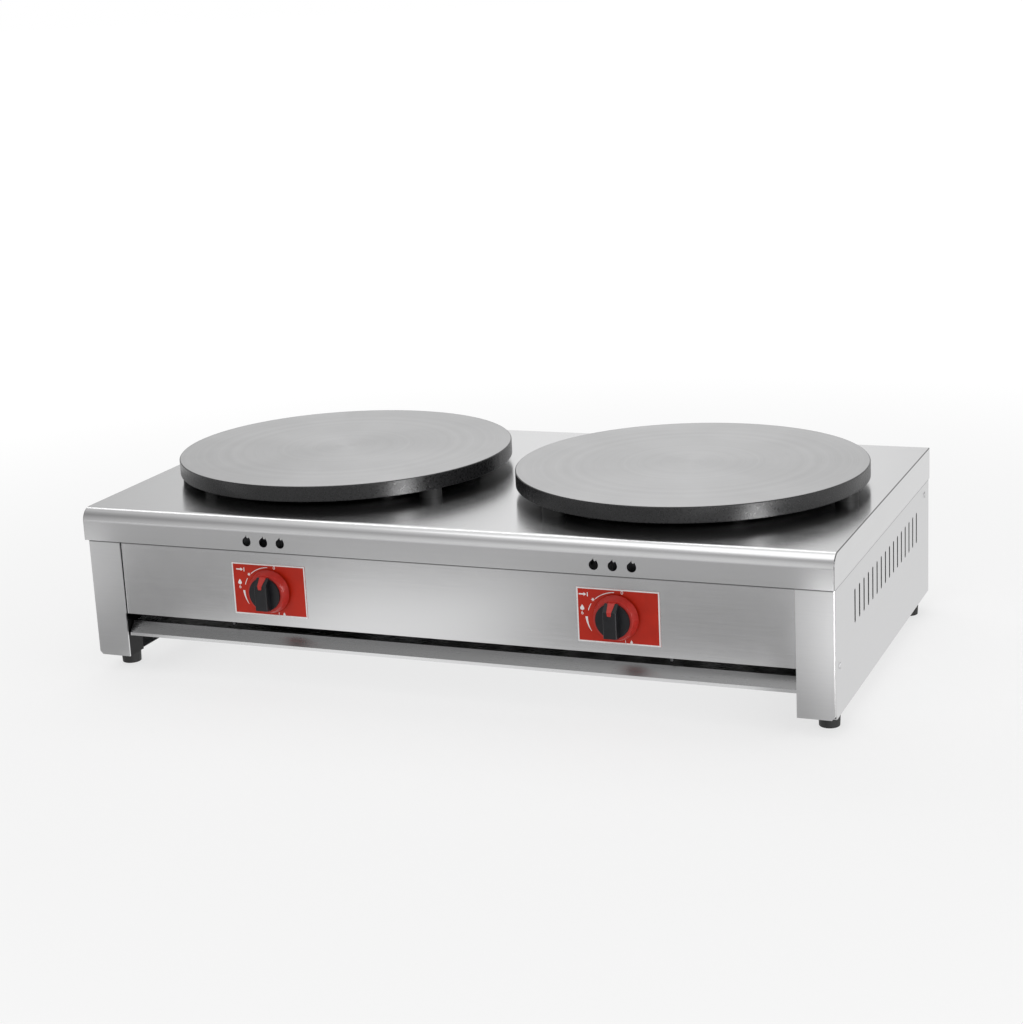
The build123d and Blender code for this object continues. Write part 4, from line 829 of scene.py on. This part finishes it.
def mirrored_floor(g, place, studio):
    """How bright each place of the floor is where the metal mirrors it.

    The apron and the control panel mirror a grey floor in front of the case, with a pale pool in
    its middle. Each leg mirrors a strip beside it, everything farther off is bright, and a very
    bright card lies at the right.
    """
    x, y, _ = g.split(place)
    front = g.span(y, -0.72, -0.66, studio.apron_floor, studio.front_floor)
    pool = g.vector("SUBTRACT", place, (-0.18, -0.56, 0.0))
    pool = g.vector("LENGTH", g.vector("MULTIPLY", pool, (1.0, 0.45, 0.0)))
    pool = g.span(pool, 0.05, 0.36, studio.front_pool, 0.0, smooth=True)
    pool = g.times(pool, g.span(y, -0.68, -0.60, 0.0, 1.0, smooth=True))
    # The strips' borders run at a slant from the legs' inner edges
    depth = g.plus(y, -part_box("left_side_panel")[0].y)
    left = g.plus(x, g.times(depth, -0.67))
    left = g.span(left, -0.43, -0.40, 1.0, 0.0, smooth=True)
    left = g.times(left, g.span(y, -0.70, -0.33, 1.6, 0.26))
    right = g.plus(x, g.times(depth, -0.27))
    right = g.span(right, 0.40, 0.43, 0.0, 1.0, smooth=True)
    right = g.times(right, g.span(y, -0.70, -0.33, 2.6, 0.55))
    strips = g.times(g.most(left, right), g.span(y, -0.71, -0.69, 0.0, 1.0))
    near = g.times(g.strip(y, -0.41, 0.0, 0.025), g.strip(x, -0.43, 0.34, 0.02))
    far = g.span(y, -2.6, -1.1, 1.0, 0.0, smooth=True)
    behind = g.span(y, -0.30, -0.22, 0.0, 0.88, smooth=True)
    beside = g.span(x, 0.42, 0.5, 0.0, 0.88, smooth=True)
    side_card = g.times(g.strip(x, 0.52, 1.25, 0.06), g.strip(y, -0.60, -0.42, 0.04))
    floor = g.most(front, pool, strips, near, far, behind, beside)
    return g.plus(floor, g.times(side_card, studio.side_card))


def lay_floor(tone, radius, studio):
    """A plain pale floor that keeps the shadow and reads as white where it is looked at."""
    material = bpy.data.materials.new("studio_floor")
    material.use_nodes = True
    g = Nodes(material.node_tree)
    place = g.at["Object"]
    paint = g.add("ShaderNodeBsdfDiffuse")
    g.feed(paint.inputs[0], rgba(tone))
    reach = g.vector("LENGTH", place)
    lift = g.times(g.seen_rays(), g.span(reach, 0.6, 2.2, 0.6, 1.0, smooth=True))
    plain = g.layer(lift, paint.outputs[0], g.glow(1.05))
    mirrored = g.glow(mirrored_floor(g, place, studio))
    output = g.add("ShaderNodeOutputMaterial")
    g.feed(output.inputs[0], g.layer(g.ray("Glossy"), plain, mirrored))
    cage = bmesh.new()
    bmesh.ops.create_circle(cage, cap_ends=True, radius=radius, segments=96)
    mesh = bpy.data.meshes.new("studio_floor")
    cage.to_mesh(mesh)
    cage.free()
    mesh.materials.append(material)
    floor = bpy.data.objects.new("studio_floor", mesh)
    bpy.context.scene.collection.objects.link(floor)


def set_camera(studio):
    """The camera of the photograph, with its small roll."""
    level = math.cos(studio.elevation)
    back = Vector(
        (math.sin(studio.azimuth) * level, -math.cos(studio.azimuth) * level, math.sin(studio.elevation))
    )
    right = (-back).cross(Vector((0, 0, 1))).normalized()
    up = right.cross(-back)
    rolled_right = math.cos(studio.roll) * right + math.sin(studio.roll) * up
    rolled_up = math.cos(studio.roll) * up - math.sin(studio.roll) * right
    data = bpy.data.cameras.new("camera")
    data.lens, data.sensor_width = studio.lens, 36.0
    camera = bpy.data.objects.new("camera", data)
    bpy.context.scene.collection.objects.link(camera)
    camera.matrix_world = Matrix((rolled_right, rolled_up, back)).transposed().to_4x4()
    camera.location = Vector(studio.aim) + back * studio.distance
    bpy.context.scene.camera = camera


class CREPE_OT_case(bpy.types.Operator):
    """Brushed stainless finish of the folded sheets"""

    bl_idname = "crepe.case"
    bl_label = "Case sheets"

    def execute(self, context):
        steel, sizes = context.scene.crepe_colours.steel, context.scene.crepe_sizes
        cover = brushed_sheet(
            "cover_steel", shade(steel, 0.99), 0.19, 0.7, sizes, cover_painted_shade, rolled_bends
        )
        dress(cover, "top_cover")
        panel = brushed_sheet("panel_steel", shade(steel, 0.96), 0.21, 0.6, sizes, panel_painted_shade)
        dress(panel, "control_panel")
        dress(brushed_sheet("rear_steel", steel, 0.34, 0.6, sizes), "rear_panel")
        side = brushed_sheet("side_steel", steel, 0.32, 0.4, sizes, side_painted_shade, darkened_bends)
        dress(side, *both("side_panel"))
        # The tray's sheet is 5% lighter than the steel, a painted light on its lip; its slope and pan
        # are painted darker.
        tray = brushed_sheet("tray_steel", shade(steel, 1.05), 0.28, 0.5, sizes, tray_painted_shade)
        dress(tray, "crumb_tray")
        return {"FINISHED"}


class CREPE_OT_plates(bpy.types.Operator):
    """Turned cast iron of the two crepe plates"""

    bl_idname = "crepe.plates"
    bl_label = "Crepe plates"

    def execute(self, context):
        tones, sizes = context.scene.crepe_colours, context.scene.crepe_sizes
        iron = plate_iron("plate_iron", tones.plate_face, tones.plate_rim, sizes)
        dress(iron, *both("crepe_plate"))
        return {"FINISHED"}


class CREPE_OT_knobs(bpy.types.Operator):
    """Black grips and red skirts of the knobs"""

    bl_idname = "crepe.knobs"
    bl_label = "Knobs"

    def execute(self, context):
        tones = context.scene.crepe_colours
        grip = moulded_plastic("grip_black", tones.grip, (0.36, 0.46), 0.4 * MM, wear=1.8)
        dress(grip, *both("knob_grip"))
        skirt = moulded_plastic("skirt_red", tones.skirt, (0.30, 0.40), 0.5 * MM, wear=1.12)
        dress(skirt, *both("knob_skirt"))
        return {"FINISHED"}


class CREPE_OT_dials(bpy.types.Operator):
    """Red dial plates and their white print"""

    bl_idname = "crepe.dials"
    bl_label = "Dials"

    def execute(self, context):
        tones, sizes = context.scene.crepe_colours, context.scene.crepe_sizes
        dress(printed_metal("dial_red", tones.dial, (0.32, 0.42)), *both("dial_plate"))
        ink = printed_metal("dial_white", tones.marks, (0.35, 0.45))
        for side in SIDES:
            make_dial_print(side, sizes, ink)
        return {"FINISHED"}


class CREPE_OT_burners(bpy.types.Operator):
    """Raw castings of the burners and their mixer tubes"""

    bl_idname = "crepe.burners"
    bl_label = "Burners"

    def execute(self, context):
        iron = rough_casting("burner_iron", context.scene.crepe_colours.burner)
        dress(iron, *both("burner_head", "mixer_tube"))
        return {"FINISHED"}


class CREPE_OT_frame(bpy.types.Operator):
    """Zinc-coated bars, brackets, runners, pipes and shutters"""

    bl_idname = "crepe.inner_frame"
    bl_label = "Inner frame"

    def execute(self, context):
        zinc = spangled_zinc("coated_steel", context.scene.crepe_colours.galvanised)
        dress(zinc, "front_crossbar", "rear_crossbar", "gas_manifold", "pipe_straps", "supply_pipe")
        dress(zinc, *both("tray_runner", "burner_bracket", "air_shutter"))
        return {"FINISHED"}


class CREPE_OT_valves(bpy.types.Operator):
    """Brass gas valves, jets and inlet"""

    bl_idname = "crepe.valves"
    bl_label = "Gas valves"

    def execute(self, context):
        brass = turned_metal("valve_brass", context.scene.crepe_colours.brass, (0.24, 0.38))
        dress(brass, "inlet_connector", "inlet_locknut")
        dress(brass, *both("valve_body", "valve_bonnet", "valve_plug", "valve_stem"))
        dress(brass, *both("magnet_unit", "injector"))
        return {"FINISHED"}


class CREPE_OT_ignition(bpy.types.Operator):
    """Igniters, leads, electrodes and thermocouples"""

    bl_idname = "crepe.ignition"
    bl_label = "Ignition"

    def execute(self, context):
        tones = context.scene.crepe_colours
        case = moulded_plastic("igniter_black", tones.grip, (0.40, 0.52), 0.5 * MM, wear=2.0)
        dress(case, *both("igniter"))
        wire = moulded_plastic("lead_red", tones.lead, (0.38, 0.50), 0.6 * MM, wear=1.2)
        dress(wire, *both("ignition_lead"))
        dress(glazed_ceramic("electrode_white", tones.ceramic), *both("electrode"))
        dress(heat_tinted_copper("probe_copper", tones.copper), *both("thermocouple"))
        return {"FINISHED"}


class CREPE_OT_feet(bpy.types.Operator):
    """Rubber feet"""

    bl_idname = "crepe.feet"
    bl_label = "Feet"

    def execute(self, context):
        rubber = foot_rubber("foot_rubber", context.scene.crepe_colours.rubber)
        dress(rubber, "front_left_foot", "front_right_foot", "rear_left_foot", "rear_right_foot")
        return {"FINISHED"}


class CREPE_OT_fasteners(bpy.types.Operator):
    """Screws, bolts, rivets and return springs"""

    bl_idname = "crepe.fasteners"
    bl_label = "Fasteners"

    def execute(self, context):
        tones = context.scene.crepe_colours
        zinc = turned_metal("plated_steel", tones.zinc, (0.42, 0.55))
        dress(zinc, "m4_screws", "foot_bolts", *both("stem_spring"))
        dress(turned_metal("rivet_steel", tones.steel, (0.28, 0.40)), "side_rivets")
        return {"FINISHED"}


class CREPE_OT_stage(bpy.types.Operator):
    """Floor, lamps, world and camera"""

    bl_idname = "crepe.stage"
    bl_label = "Studio"

    def execute(self, context):
        scene = context.scene
        studio = scene.crepe_studio
        scene.view_settings.view_transform = "Standard"
        paint_world(studio)
        lay_floor(scene.crepe_colours.floor, scene.crepe_sizes.floor_radius, studio)
        soft_box(
            "top_box", (0.1, -0.1, 2.3), aim=(0.0, 0.0, 0.15), width=2.2, depth=1.4,
            watts=studio.top_power,
        )
        soft_box(
            "back_box", (-1.1, 1.65, 2.3), aim=(-0.1, 0.0, 0.2), width=2.4, depth=0.45,
            watts=studio.back_power,
        )
        strip = soft_box(
            "side_strip", (1.95, -1.15, 0.75), aim=(0.1, -0.1, 0.2), width=0.35, depth=1.3,
            watts=studio.side_power,
        )
        strip.visible_diffuse = False
        set_camera(studio)
        return {"FINISHED"}


STEPS = (
    CREPE_OT_case,
    CREPE_OT_plates,
    CREPE_OT_knobs,
    CREPE_OT_dials,
    CREPE_OT_burners,
    CREPE_OT_frame,
    CREPE_OT_valves,
    CREPE_OT_ignition,
    CREPE_OT_feet,
    CREPE_OT_fasteners,
    CREPE_OT_stage,
)


class CREPE_PT_panel(bpy.types.Panel):
    """Lists the sizes, colours and lamps, and the steps"""

    bl_idname = "CREPE_PT_panel"
    bl_label = "Crepe maker"
    bl_space_type = "VIEW_3D"
    bl_region_type = "UI"
    bl_category = "Crepe maker"

    def draw(self, context):
        scene = context.scene
        for group in (scene.crepe_sizes, scene.crepe_colours, scene.crepe_studio):
            box = self.layout.box()
            for key in group.__annotations__:
                box.prop(group, key)
        for step in STEPS:
            self.layout.operator(step.bl_idname)


CLASSES = (CrepeMakerColours, CrepeMakerSizes, CrepeMakerStudio, *STEPS, CREPE_PT_panel)


def register():
    for cls in CLASSES:
        bpy.utils.register_class(cls)
    bpy.types.Scene.crepe_colours = PointerProperty(type=CrepeMakerColours)
    bpy.types.Scene.crepe_sizes = PointerProperty(type=CrepeMakerSizes)
    bpy.types.Scene.crepe_studio = PointerProperty(type=CrepeMakerStudio)


def unregister():
    del bpy.types.Scene.crepe_studio
    del bpy.types.Scene.crepe_sizes
    del bpy.types.Scene.crepe_colours
    for cls in reversed(CLASSES):
        bpy.utils.unregister_class(cls)


def main():
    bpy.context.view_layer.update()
    register()
    for step in STEPS:
        group, name = step.bl_idname.split(".")
        getattr(getattr(bpy.ops, group), name)()


if __name__ == "__main__":
    main()
